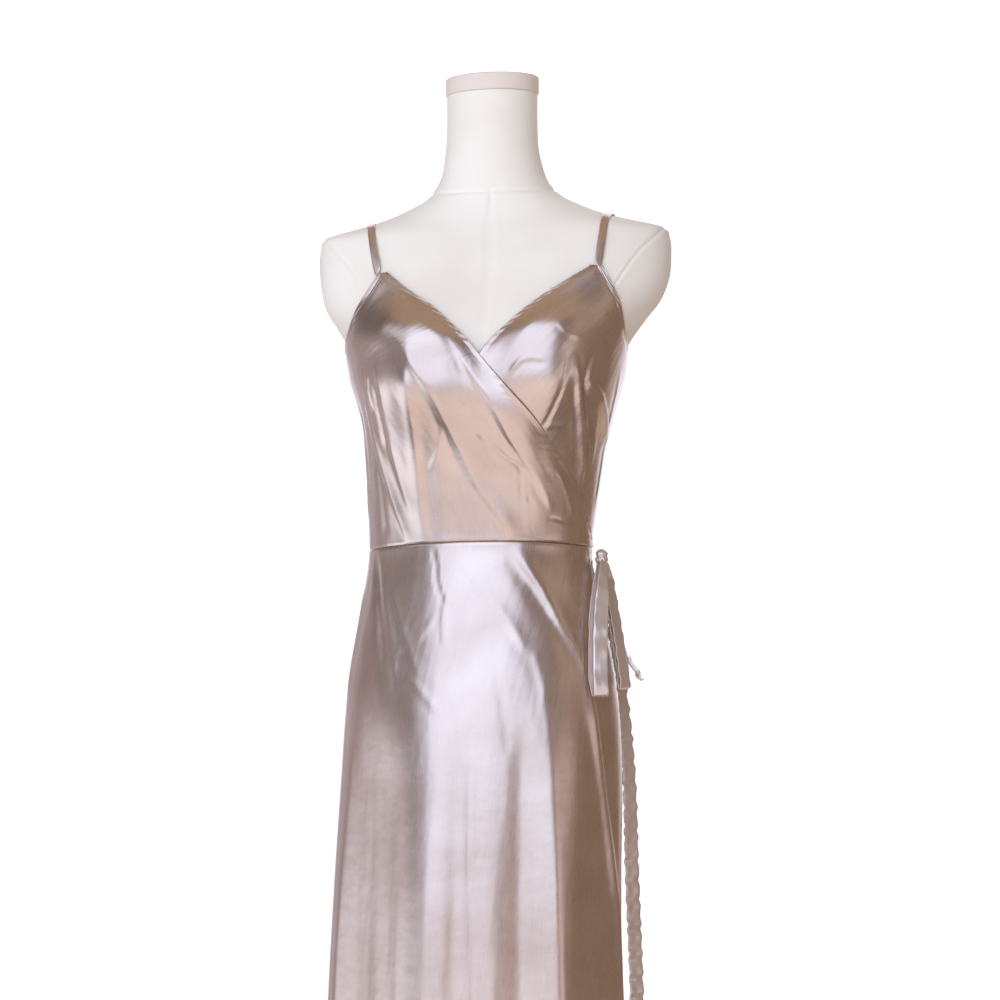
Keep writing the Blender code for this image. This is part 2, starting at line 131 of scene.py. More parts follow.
def coloured(tree, shader, source, stops):
    """Sets the base colour from a ramp fed by source."""
    tree.links.new(ramp(tree, source, stops), shader.inputs["Base Color"])


def noise(tree, place, scale, detail=2.0):
    """The value of a noise pattern. Three scales instead of one stretch it along the axes."""
    if isinstance(scale, tuple):
        place = add(tree, "Mapping", {"Scale": scale}, [("Vector", place)]).outputs["Vector"]
        scale = 1.0
    made = add(tree, "TexNoise", {"Scale": scale, "Detail": detail}, [("Vector", place)])
    return made.outputs["Fac"]


def glossed(tree, shader, source, smooth, rough):
    """Lets the roughness vary with source, from smooth to rough."""
    made = add(tree, "MapRange", {"To Min": smooth, "To Max": rough}, [("Value", source)])
    tree.links.new(made.outputs["Result"], shader.inputs["Roughness"])


def bumped(tree, shader, *layers):
    """Lays bumps on each other, each as (strength, height in metres, pattern)."""
    below = []
    for strength, high, pattern in layers:
        made = add(tree, "Bump", {"Strength": strength, "Distance": high}, [("Height", pattern), *below])
        below = [("Normal", made.outputs["Normal"])]
    tree.links.new(made.outputs["Normal"], shader.inputs["Normal"])


print("a mid swatch is", [round(value, 3) for value in linear("#808080")], "in linear values")

# %% [markdown]
# ## The room
#
# Satin shows what is round it, so its light is chosen like a photographer's. What it mirrors is
# painted straight on to the world: soft-edged bright areas on a dim warm room. The main one is a
# wide cool window in front, and paler ones stand lower down, to the sides and behind. Where the
# cloth turns up or away it meets the dim room between them, which gives the brown tones. Each
# area is a direction and a size in degrees, so it is easy to move one and see what it does.

# %% Room
def arithmetic(tree, operation, *values):
    """Output of a maths node, fed with numbers or other outputs."""
    made = add(tree, "Math", {"operation": operation})
    for place, value in enumerate(values):
        if isinstance(value, (int, float)):
            made.inputs[place].default_value = value
        else:
            tree.links.new(value, made.inputs[place])
    return made.outputs["Value"]


world = bpy.data.worlds.new("room")
world.use_nodes = True
bpy.context.scene.world = world
room = world.node_tree
view = add(room, "TexCoord", {}).outputs["Generated"]
ray = add(room, "SeparateXYZ", {}, [("Vector", view)]).outputs
ROUND = arithmetic(room, "MULTIPLY", arithmetic(
    room, "ARCTAN2", ray["X"], arithmetic(room, "MULTIPLY", ray["Y"], -1.0)), 180 / math.pi)
RISE = arithmetic(room, "MULTIPLY", arithmetic(room, "ARCSINE", ray["Z"]), 180 / math.pi)
AIR = "#554334"  # what the dim warm room sends back
PANES = (
    # degrees round from the front, degrees up, half width, half height, soft edge, swatch, glow
    (-4, 19, 30, 29, 12, "#cfe0ff", 2.25),
    (-56, 30, 20, 12, 16, "#e2eaff", 1.05),
    (-66, -25, 28, 16, 14, "#dde9ff", 1.75),
    (4, -42, 38, 28, 12, "#faf0f0", 1.12),
    (0, 78, 180, 27, 10, "#ffdcae", 0.36),
    (56, -10, 13, 8, 10, "#f2ecf6", 1.00),
    (70, 34, 10, 26, 16, "#f6e9dc", 0.35),
    (90, -5, 50, 50, 40, "#ffd9b4", 0.16),
    (-112, -25, 45, 35, 30, "#e6dcea", 0.36),
    (178, 16, 30, 28, 18, "#e4eaff", 1.80),
    (-130, 6, 7, 50, 12, "#eceeff", 0.40),
    (142, 10, 7, 45, 12, "#fff0dc", 0.30),
    (180, -45, 60, 24, 16, "#fff0e2", 0.80),
)


def pane(tree, so_far, middle, up, half_width, half_height, soft, swatch, glow):
    """Adds a soft-edged bright area of the room to the colour so far."""
    turned = arithmetic(tree, "WRAP", arithmetic(tree, "SUBTRACT", ROUND, middle), 180.0, -180.0)
    parts = []
    risen = arithmetic(tree, "SUBTRACT", RISE, up)
    for away, half in ((turned, half_width), (risen, half_height)):
        edge = add(tree, "MapRange", {
            "interpolation_type": "SMOOTHSTEP",
            "From Min": half + soft / 2,
            "From Max": half - soft / 2,
        }, [("Value", arithmetic(tree, "ABSOLUTE", away))])
        parts.append(edge.outputs["Result"])
    amount = arithmetic(tree, "MULTIPLY", arithmetic(tree, "MULTIPLY", *parts), glow)
    tint = {"operation": "SCALE", "Vector": linear(swatch)[:3]}
    mixed = add(tree, "VectorMath", tint, [("Scale", amount)]).outputs["Vector"]
    summed = add(tree, "VectorMath", {"operation": "ADD"}, [(0, so_far), (1, mixed)])
    return summed.outputs["Vector"]


sky = add(room, "CombineXYZ", dict(zip("XYZ", linear(AIR)[:3]))).outputs["Vector"]
for each in PANES:
    sky = pane(room, sky, *each)
room.links.new(sky, room.nodes["Background"].inputs["Color"])
room.nodes["Background"].inputs["Strength"].default_value = 1.0
print("room:", len(PANES), "bright areas")

# %% [markdown]
# ## Softboxes
#
# The jersey form is matt, so the painted room alone would leave it flat. Two large softboxes
# light it and shade its sides, one in front and a little to the wearer's right, one high up
# behind. The satin doesn't mirror them, so that its tones come from the room alone.

# %% Softboxes
AIM = Vector((0, 0, 1.0))  # the softboxes face the middle of the dress


def softbox(name, azimuth, elevation, away, width, height, swatch, glow):
    """A soft rectangular light that satin doesn't mirror. Azimuth is degrees from the front."""
    light = bpy.data.lights.new(name, "AREA")
    light.shape = "RECTANGLE"
    light.size, light.size_y = width, height
    light.color = linear(swatch)[:3]
    light.energy = glow * math.pi * width * height
    made = bpy.data.objects.new(name, light)
    a, e = math.radians(azimuth), math.radians(elevation)
    back = Vector((math.sin(a) * math.cos(e), -math.cos(a) * math.cos(e), math.sin(e)))
    made.location = AIM + back * away
    made.rotation_euler = back.to_track_quat("Z", "Y").to_euler()
    made.visible_camera = False
    made.visible_glossy = False
    bpy.context.scene.collection.objects.link(made)
    print(name, "glows at", glow, "from", [round(value, 2) for value in made.location])


softbox("front light", -22, 22, 3.2, 2.6, 2.4, "#fffaf2", 1.25)
softbox("back light", 165, 35, 3.2, 2.4, 2.0, "#fffaf2", 1.2)

# %% [markdown]
# ## The stage
#
# The dress stands in the middle of a round white stage whose floor curves up into its wall, as a
# studio's does, so that no line shows behind it. The stage is only a backdrop: it glows by
# itself, and the camera sees it, but it isn't mirrored and sheds no light on the dress.

# %% Stage
STAGE_RADIUS = 5.6
STAGE_HEIGHT = 4.5
CORNER = 1.6  # radius of the curve from the floor up into the wall
CORNER_STEPS = 8


def spun(profile, steps, near):
    """A profile of (radius, height) spun round the upright axis, with near points merged."""
    lathe = bmesh.new()
    verts = [lathe.verts.new((radius, 0, height)) for radius, height in profile]
    rail = [lathe.edges.new(pair) for pair in zip(verts, verts[1:])]
    bmesh.ops.spin(
        lathe, geom=verts + rail, cent=(0, 0, 0), axis=(0, 0, 1), angle=2 * math.pi,
        steps=steps, use_merge=True,
    )
    bmesh.ops.remove_doubles(lathe, verts=lathe.verts, dist=near)
    return lathe


stage_finish, tree, shader = finish(
    "Matt white studio paint", Roughness=0.9, Specular_IOR_Level=0.2,
    Emission_Color=linear("#ffffff"), Emission_Strength=0.55,
)
grain = noise(tree, add(tree, "TexCoord", {}).outputs["Object"], 3.0)
coloured(tree, shader, grain, ((0.3, "#f4f2ef"), (0.7, "#f8f7f5")))

profile = [(0.0, 0.0), (STAGE_RADIUS - CORNER, 0.0)]
for step in range(1, CORNER_STEPS + 1):
    lean = math.pi / 2 * step / CORNER_STEPS
    outer = STAGE_RADIUS - CORNER + CORNER * math.sin(lean)
    profile.append((outer, CORNER - CORNER * math.cos(lean)))
profile.append((STAGE_RADIUS, STAGE_HEIGHT))
bowl = spun(profile, 96, 0.0001)
stage_mesh = bpy.data.meshes.new("stage")
bowl.to_mesh(stage_mesh)
bowl.free()
stage_mesh.shade_smooth()
stage_mesh.materials.append(stage_finish)
stage = bpy.data.objects.new("stage", stage_mesh)
stage.visible_glossy = stage.visible_diffuse = stage.visible_shadow = False
bpy.context.scene.collection.objects.link(stage)
print("stage:", len(stage_mesh.polygons), "faces")

# %% [markdown]
# ## Satin
#
# The dress is polyester satin, woven so that long threads float on the face. They lie side by
# side like fine wires, which is why the cloth mirrors light broadly, almost like a brushed metal,
# and turns from near white to brown over a small fold. So the shader is mostly metallic, with a
# middling roughness. The threads themselves are about 0.1 mm and can't show, so their grain is
# drawn coarser, as faint streaks 1.5 mm wide that run down the cloth and vary its tone and its
# gloss. Two soft bumps stand for how it hangs: long falls 14 mm wide, and crumples of 16 mm.

# %% Satin finishes
METRE = 1.0  # the cloth's own map is laid out in metres, so scales are counts per metre


def per_metre(millimetres):
    """Noise scale for a pattern of this size."""
    return METRE / (millimetres / 1000)


def satin(name, light_tone, deep_tone, metallic, smooth, rough):
    """Champagne satin: streaks in tone and gloss, long soft falls and a slight crumple."""
    made, tree, shader = finish(
        name, Metallic=metallic, Sheen_Weight=0.05, Sheen_Roughness=0.4,
        Sheen_Tint=linear("#f2e2da"),
    )
    cloth_map = add(tree, "TexCoord", {}).outputs["UV"]
    thread = noise(tree, cloth_map, (per_metre(1.5), per_metre(26), 1.0), 3.0)
    crumple = noise(tree, cloth_map, per_metre(16))
    wander = noise(tree, cloth_map, per_metre(70), 4.0)
    tone = add(tree, "Math", {"operation": "MULTIPLY_ADD", 1: 0.35}, [(0, thread), (2, wander)])
    coloured(tree, shader, tone.outputs["Value"], ((0.45, deep_tone), (0.85, light_tone)))
    glossed(tree, shader, thread, smooth, rough)
    fall = noise(tree, cloth_map, (per_metre(14), per_metre(130), 1.0), 1.0)
    bumped(tree, shader, (0.35, 0.0012, fall), (0.22, 0.0010, crumple))
    return made


satin_face = satin("Champagne polyester satin, face", "#d6c5ba", "#c7b4a7", 0.87, 0.24, 0.33)
# A narrow tube crinkles as it is turned and pressed, so its satin is paler and less mirror-like.
satin_tube = satin("Champagne polyester satin, turned tube", "#e2d5cc", "#d2c2b7", 0.62, 0.26, 0.38)
# The wrong side of satin has the short floats, so it is matt and a little paler.
satin_back = satin("Champagne polyester satin, wrong side", "#c6b4aa", "#b7a49a", 0.15, 0.60, 0.70)
print("satin finishes:", [each.name for each in (satin_face, satin_tube, satin_back)])

# %% [markdown]
# ## Jersey, cap and metal
#
# The form is covered in cream cotton jersey, a matt knit whose fine ribs catch a little light at
# the edges, so it gets sheen and a rib bump. Real ribs are near 0.7 mm; here they are 2 mm, the
# finest that still shows. The neck cap is pressed card under calico with a fine tooth. The stand
# is brushed steel, brushed along the pole and straight across the foot. Both are hidden by the
# skirt from most sides but finished as a shop would have them.

# %% Form and stand finishes
def jersey(name, light_tone, deep_tone):
    """Cream cotton jersey, stretched smooth."""
    made, tree, shader = finish(
        name, Roughness=0.9, Specular_IOR_Level=0.25, Sheen_Weight=0.25, Sheen_Roughness=0.5,
        Sheen_Tint=linear("#fff6e6"),
    )
    place = add(tree, "TexCoord", {}).outputs["Object"]
    ribs = add(tree, "TexWave", {
        "Scale": per_metre(2.0) / (2 * math.pi),
        "Distortion": 0.6,
        "Detail": 1.0,
        "bands_direction": "Z",
    }, [("Vector", place)])
    tone = noise(tree, place, per_metre(90))
    coloured(tree, shader, tone, ((0.35, deep_tone), (0.65, light_tone)))
    fuzz = noise(tree, place, per_metre(6), 4.0)
    bumped(tree, shader, (0.10, 0.0003, ribs.outputs["Fac"]), (0.15, 0.0004, fuzz))
    return made


cream_jersey = jersey("Cream cotton jersey", "#f0ebe0", "#e9e3d6")
calico = jersey("Calico over pressed card", "#e8ddd1", "#dfd3c6")


def brushed(name, swatch, dark, metallic, smooth, rough, squash):
    """Metal whose tone and gloss vary along fine marks."""
    made, tree, shader = finish(name, Metallic=metallic)
    scratch = noise(tree, add(tree, "TexCoord", {}).outputs["Object"], squash, 5.0)
    coloured(tree, shader, scratch, ((0.3, dark), (0.7, swatch)))
    glossed(tree, shader, scratch, smooth, rough)
    bumped(tree, shader, (0.15, 0.0002, scratch))
    return made


ALONG_POLE = (900.0, 900.0, 30.0)  # marks per metre along each axis
ACROSS_FOOT = (500.0, 60.0, 500.0)
steel = brushed("Brushed steel tube", "#b9b7b4", "#a3a19e", 1.0, 0.25, 0.42, ALONG_POLE)
plate = brushed("Brushed steel plate", "#a9a7a4", "#979592", 1.0, 0.34, 0.50, ACROSS_FOOT)
print("form and stand finishes: 4")

# %% [markdown]
# ## The body underneath
#
# The dress follows the form, so both are described by the same level sections: a stretched
# circle at each height, with a half width, a depth to the front and to the back, and a number for
# how square it is. A smooth curve runs through the rows, two mounds are added for the bust, and
# cloth is laid at a small distance along the outward direction. These are the model's own values.

# %% Sections of the form and the skirt
FORM = (
    # z, half_width, front, back, squareness, lean
    (0.780, 0.1000, 0.0750, 0.080, 2.10, 0.000),
    (0.785, 0.1180, 0.0900, 0.096, 2.10, 0.000),
    (0.800, 0.1300, 0.1000, 0.107, 2.10, 0.000),
    (0.840, 0.1340, 0.1020, 0.112, 2.10, -0.001),
    (0.880, 0.1330, 0.1010, 0.110, 2.10, -0.002),
    (0.930, 0.1290, 0.0970, 0.102, 2.10, -0.002),
    (0.980, 0.1220, 0.0910, 0.092, 2.10, -0.002),
    (1.030, 0.1165, 0.0860, 0.083, 2.10, -0.003),
    (1.060, 0.1155, 0.0840, 0.080, 2.10, -0.003),
    (1.100, 0.1190, 0.0870, 0.085, 2.15, -0.001),
    (1.135, 0.1220, 0.0900, 0.092, 2.20, 0.001),
    (1.170, 0.1260, 0.0940, 0.098, 2.25, 0.003),
    (1.200, 0.1320, 0.0970, 0.103, 2.30, 0.005),
    (1.240, 0.1435, 0.1000, 0.107, 2.30, 0.005),
    (1.270, 0.1495, 0.1010, 0.110, 2.30, 0.005),
    (1.300, 0.1680, 0.0980, 0.111, 2.35, 0.007),
    (1.320, 0.1820, 0.0940, 0.109, 2.40, 0.009),
    (1.345, 0.1900, 0.0870, 0.105, 2.50, 0.011),
    (1.370, 0.1920, 0.0780, 0.097, 2.50, 0.011),
    (1.388, 0.1905, 0.0690, 0.087, 2.50, 0.011),
    (1.400, 0.1830, 0.0630, 0.078, 2.50, 0.010),
    (1.410, 0.1440, 0.0580, 0.070, 2.40, 0.010),
    (1.418, 0.1170, 0.0550, 0.065, 2.30, 0.010),
    (1.428, 0.0930, 0.0520, 0.059, 2.20, 0.010),
    (1.438, 0.0740, 0.0500, 0.054, 2.10, 0.010),
    (1.450, 0.0630, 0.0490, 0.051, 2.00, 0.009),
    (1.465, 0.0560, 0.0475, 0.049, 2.00, 0.009),
    (1.490, 0.0510, 0.0460, 0.047, 2.00, 0.008),
    (1.520, 0.0495, 0.0455, 0.046, 2.00, 0.008),
    (1.550, 0.0495, 0.0455, 0.046, 2.00, 0.008),
)
SKIRT = (
    # z, half_width, front, back, squareness, lean
    (0.055, 0.1687, 0.1321, 0.1444, 2.0, -0.006),
    (0.200, 0.1661, 0.1286, 0.1397, 2.0, -0.007),
    (0.400, 0.1616, 0.1244, 0.1330, 2.0, -0.008),
    (0.590, 0.1554, 0.1198, 0.1273, 2.0, -0.008),
    (0.700, 0.1510, 0.1170, 0.1245, 2.0, -0.006),
    (0.800, 0.1472, 0.1127, 0.1218, 2.0, -0.003),
    (0.880, 0.1425, 0.1074, 0.1165, 2.1, -0.002),
    (0.930, 0.1370, 0.1011, 0.1071, 2.1, -0.002),
    (0.980, 0.1280, 0.0940, 0.0960, 2.1, -0.002),
    (1.030, 0.1180, 0.0870, 0.0850, 2.1, -0.003),
    (1.060, 0.1155, 0.0840, 0.0800, 2.1, -0.003),
    (1.100, 0.1190, 0.0870, 0.0850, 2.1, -0.001),
)
BUST = {"x": 0.077, "z": 1.242, "wide": 0.050, "up": 0.055, "down": 0.045, "out": 0.034}
TILT, TILT_FROM, TILT_OVER = 0.029, 1.12, 0.2  # the shoulders rise a little to the wearer's left
LEVEL_BELOW, LEVEL_OVER = 1.11, 0.04  # from the waist down, cloth stands off the form level
TURN_STEP = 0.05  # degrees, and metres below: how far apart points are for a direction
RISE_STEP = 0.001


def ease(t):
    """Rises smoothly from 0 to 1 as t does."""
    t = np.clip(t, 0.0, 1.0)
    return t * t * (3 - 2 * t)


def between(table, at):
    """A table's other columns where its first column is at, on a smooth curve through its rows."""
    rows = np.array(table, float)
    keys, last = rows[:, 0], len(rows) - 1
    at = np.clip(np.asarray(at, float), keys[0], keys[-1])
    i = np.clip(np.searchsorted(keys, at, side="right") - 1, 0, last - 1)
    low, high = np.maximum(np.arange(last + 1) - 1, 0), np.minimum(np.arange(last + 1) + 1, last)
    slope = (rows[high, 1:] - rows[low, 1:]) / (keys[high] - keys[low])[:, None]
    step = (keys[i + 1] - keys[i])[..., None]
    t = (at - keys[i])[..., None] / step
    start = (2 * t**3 - 3 * t**2 + 1) * rows[i, 1:] + (t**3 - 2 * t**2 + t) * slope[i] * step
    return start + (3 * t**2 - 2 * t**3) * rows[i + 1, 1:] + (t**3 - t**2) * slope[i + 1] * step


def section_point(sections, angle, z):
    """The point of the level section at z that is angle degrees round from the front."""
    half_width, front, back, squareness, lean = np.moveaxis(between(sections, z), -1, 0)
    s, c = np.sin(np.radians(angle)), np.cos(np.radians(angle))
    x = np.sign(s) * half_width * np.abs(s) ** (2 / squareness)
    y = -np.sign(c) * np.where(c > 0, front, back) * np.abs(c) ** (2 / squareness)
    spread = np.where(z > BUST["z"], BUST["up"], BUST["down"])
    mounds = sum(np.exp(-(((x - side * BUST["x"]) / BUST["wide"]) ** 2) / 2) for side in (-1, 1))
    mounds = mounds * BUST["out"] * np.exp(-(((z - BUST["z"]) / spread) ** 2) / 2)
    y = y - mounds * np.clip(2 * c, 0, 1)
    return np.stack([x + lean, y, z + TILT * x * ease((z - TILT_FROM) / TILT_OVER)], -1)


def skin(sections, angle, z):
    """Points of the sections and the outward direction at each."""
    angle, z = np.broadcast_arrays(np.asarray(angle, float), np.asarray(z, float))
    left, right = (section_point(sections, angle + way * TURN_STEP, z) for way in (1, -1))
    above, below = (section_point(sections, angle, z + way * RISE_STEP) for way in (1, -1))
    out = np.cross(left - right, above - below)
    out /= np.linalg.norm(out, axis=-1, keepdims=True)
    out[..., 2] *= 1 - ease((LEVEL_BELOW - z) / LEVEL_OVER)
    return section_point(sections, angle, z), out / np.linalg.norm(out, axis=-1, keepdims=True)


print("waist half width:", round(float(between(FORM, 1.06)[0]) * 1000), "mm")

# %% [markdown]
# ## Laying cloth
#
# A panel of cloth starts as a flat grid, because that is what cloth is. The grid's cells are
# closer together at its edges, where hems and seams need them, and each point is then moved to
# its place on the body. The real lengths along the cloth are measured after that, so that the
# weave isn't stretched and a hem is the same width all along. Solidify gives the thickness last.

# %% Panel helper
CLOTH = 0.0009  # satin with its turned hem
EDGE_CROWDING = 0.55  # 0 leaves the grid even


def crowded(t):
    """Moves evenly spaced places closer together at both ends."""
    return t - EDGE_CROWDING * np.sin(2 * np.pi * t) / (2 * np.pi)


def margins(grid):
    """Distance in metres of every grid point from the left, right, bottom and top edges."""
    sideways = np.linalg.norm(np.diff(grid, axis=1), axis=2)
    upward = np.linalg.norm(np.diff(grid, axis=0), axis=2)
    left = np.pad(np.cumsum(sideways, axis=1), ((0, 0), (1, 0)))
    bottom = np.pad(np.cumsum(upward, axis=0), ((1, 0), (0, 0)))
    return {
        "left": left.ravel(),
        "right": (left[:, -1:] - left).ravel(),
        "bottom": bottom.ravel(),
        "top": (bottom[-1:] - bottom).ravel(),
    }


def show(mesh_data, node, word, finishes, cloth_map=None, sharp=None):
    """Turns a bmesh into the piece shown in place of a CAD node, called by node and word."""
    mesh = bpy.data.meshes.new(f"{node}_{word}")
    mesh_data.to_mesh(mesh)
    mesh_data.free()
    mesh.shade_smooth()
    if sharp is not None:
        mesh.set_sharp_from_angle(angle=math.radians(sharp))
    for each in finishes:
        mesh.materials.append(each)
    if cloth_map is not None:
        corner = np.zeros(len(mesh.loops), np.int32)
        mesh.loops.foreach_get("vertex_index", corner)
        mesh.uv_layers.new(name="cloth").data.foreach_set("uv", cloth_map[corner].ravel())
    made = bpy.data.objects.new(mesh.name, mesh)
    bpy.context.scene.collection.objects.link(made)
    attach(made, "root")
    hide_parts(node)
    return made


def flat_places(mesh_data):
    """Where a flat grid's points lie across and along it, from 0 to 1."""
    return (np.array([vertex.co[:2] for vertex in mesh_data.verts]) + 0.5).T


def panel(name, columns, rows, where, relief, thick=CLOTH, face=satin_face):
    """A panel of satin. Where gives base points, outward directions and stand-off for u and v."""
    cloth = bmesh.new()
    bmesh.ops.create_grid(cloth, x_segments=columns, y_segments=rows, size=0.5)
    u, v = flat_places(cloth)
    points, out, stand_off = where(crowded(u), crowded(v))
    edges = margins(points.reshape(rows + 1, columns + 1, 3))
    points = points + out * (stand_off + relief(points, out, edges))[:, None]
    for vertex, point in zip(cloth.verts, points):
        vertex.co = point
    cloth_map = np.stack([edges["left"], edges["bottom"]], -1)
    made = show(cloth, name, "satin", (face, satin_back), cloth_map)
    wall = made.modifiers.new("thickness", "SOLIDIFY")
    wall.thickness, wall.offset = thick, -1.0
    wall.material_offset, wall.material_offset_rim = 1, 0
    width = float((edges["left"] + edges["right"]).max())
    length = float((edges["bottom"] + edges["top"]).max())
    print(f"{name}: {len(made.data.polygons)} cells, about {width:.3f} x {length:.3f} m")
    return made


# %% [markdown]
# ## Hems, seams and creases
#
# Satin shows every small height, so three kinds of relief are laid on the panels. A seam turns in
# at the edge, a hem swells a little and has a ditch where it is stitched, with puckers where the
# thread is tight. A crease is a ridge along a line on the body, steeper on one side, with a
# trough beside its steep side. Its line is a few points given as degrees round the body and
# height, and its sizes are given one by one, because real creases are all different.

# %% Relief helpers
HEM = 0.006  # where the stitching runs, from the edge
HEM_SWELL, HEM_SOFT = 0.0002, 0.003
DITCH_DEEP, DITCH = 0.0002, 0.0012
PUCKERS = ((560, 1.0, 0.0), (910, 0.6, 1.3), (233, 0.5, 0.4))  # radians per metre, size, start
CREASE_REACH = 4.5  # a crease is worked out as far as this many times its width
CREASE_TAPER = 5  # it fades over this part of its length at each end
TROUGH_DEEP, TROUGH_AWAY, TROUGH_WIDE = 0.22, 2.4, 1.4  # beside the steep side, in its widths


def seam(distance, deep=0.0008, wide=0.0014):
    """A seam turns the cloth in towards the body."""
    return -deep * np.exp(-((distance / wide) ** 2))


def hem(distance, along, pucker=0.0003):
    """A turned and stitched hem, puckered unevenly along its length."""
    swell = HEM_SWELL * ease((HEM - distance) / HEM_SOFT)
    ditch = -DITCH_DEEP * np.exp(-(((distance - HEM) / DITCH) ** 2))
    tight = sum(size * np.sin(along * rate + begin) for rate, size, begin in PUCKERS)
    return swell + ditch + pucker * tight * np.exp(-((distance / (1.6 * HEM)) ** 2))


def crease_line(sections, line):
    """Points and outward directions along a line given as degrees round and height."""
    keys = [(place, angle, z) for place, (angle, z) in enumerate(line)]
    at = np.linspace(0, len(line) - 1, 10 * len(line))
    angle, z = np.moveaxis(between(keys, at), -1, 0)
    return skin(sections, angle, z)


def creases(sections, rows, points, out):
    """The height that all the creases in rows give to each point."""
    total = np.zeros(len(points))
    for height, left, right, line in rows:
        path, normals = crease_line(sections, line)
        reach = CREASE_REACH * max(left, right) / 1000
        low, high = path.min(0) - reach, path.max(0) + reach
        inside = ((points > low) & (points < high)).all(1)
        near = np.flatnonzero(inside & ((out @ normals.mean(0)) > 0))
        if not len(near):
            continue
        start, run = path[:-1], np.diff(path, axis=0)
        away = points[near][:, None] - start
        t = np.clip((away * run).sum(2) / (run * run).sum(1), 0, 1)
        gap = away - run * t[..., None]
        distance = np.linalg.norm(gap, axis=2)
        best, every = distance.argmin(1), np.arange(len(near))
        right_hand = np.cross(normals[:-1], run)
        side = np.sign((gap[every, best] * right_hand[best]).sum(1)) * distance[every, best] * 1000
        along = (best + t[every, best]) / len(run)
        rise = np.exp(-((side / np.where(side < 0, left, right)) ** 2))
        steep, sign = (left, -1) if left < right else (right, 1)
        trough = (side - sign * TROUGH_AWAY * steep) / (TROUGH_WIDE * steep)
        rise -= TROUGH_DEEP * np.exp(-(trough**2))
        total[near] += height / 1000 * rise * ease(np.minimum(along, 1 - along) * CREASE_TAPER)
    return total


def hang(points, size):
    """The slight unevenness of cloth that hangs free, drawn out along its fall."""
    x, y, z = points.T
    sway = 0.9 * np.sin(9 * z + 1.1) + 0.5 * np.sin(17 * z + 14 * x)
    wide = np.sin(95 * x + 60 * y + sway)  # waves about 56 mm wide
    narrow = np.sin(163 * x - 90 * y + 1.7 * sway + 2.0)  # and about 34 mm wide
    return size * (wide + 0.6 * narrow)


print("a hem swells", round(float(hem(np.array(0.0), np.array(0.0), 0)) * 1000, 2), "mm at its edge")

# %% [markdown]
# ## The bodice
#
# Two fronts cross over, the wearer's right one on top, and run up into triangular cups. A real
# one is cut on the bias and pulled by the tie, so long straight creases run from the bust to the
# waist on the other side, and shorter ones fan out where the side seam pulls. The under front has
# a bust dart that ends under the crossover, with folds beside it. The edges come closer to the
# body than the middle does, because they are held there.

# %% Bodice measurements
LAYER_1 = 0.0030  # inner face of cloth next to the form
LAYER_2 = 0.0066  # inner face of cloth over another panel
WALL = 0.0015
WAIST, APEX, UNDERARM = 1.055, 1.353, 1.255  # heights above the floor
WAIST_RISE, WAIST_PEAK = 0.013, 10  # how far the waist seam rises, and at what angle
BACK_DIP = 0.018
SIDE_SEAM = 95.0  # degrees round from the front
SIDE_CLEAR = 0.06  # degrees left free at each side seam
GAP = 0.0003
EDGE_FADE = 0.004  # creases fade out this close to the waist
CLOSE_IN, CLOSE_BAND = 0.0010, 0.016  # the fronts' edges come in to the body
BACK_CLOSE_IN, BACK_CLOSE_BAND = 0.0014, 0.014
BODICE_HANG = 0.00012
BLOUSE = {  # fullness of the upper front over the ribs
    "out": 0.0050, "rise": 0.120, "z": 1.19, "fade": 0.10, "edge": 0.030, "x": -0.115, "side": 0.06,
}
CUP = {  # fullness over the top of the bust
    "out": 0.0065, "z": 1.290, "tall": 0.024, "lean": 0.003, "x": 0.077, "wide": 0.055,
    "edge": 0.032, "seam": 0.030, "hem": 0.004, "top": 0.03,
}
CROSSOVER = (
    # z, over_x, under_x
    (1.055, 0.1145, 0.1145),
    (1.075, 0.1120, 0.1120),
    (1.095, 0.1070, 0.1070),
    (1.117, 0.1000, 0.1000),
    (1.144, 0.0850, 0.0850),
    (1.166, 0.0730, 0.0730),
    (1.187, 0.0605, 0.0605),
    (1.207, 0.0460, 0.0460),
    (1.238, 0.0190, 0.0190),
    (1.272, -0.0110, -0.0060),
    (1.294, -0.0330, -0.0270),
    (1.313, -0.0535, -0.0475),
    (1.334, -0.0840, -0.0760),
    (1.353, -0.1080, -0.1060),
)
ARMHOLE = (
    # z, angle
    (1.255, SIDE_SEAM),
    (1.271, 80.0),
    (1.2875, 63.5),
    (1.309, 50.5),
    (1.330, 40.5),
    (1.353, 32.8),
)
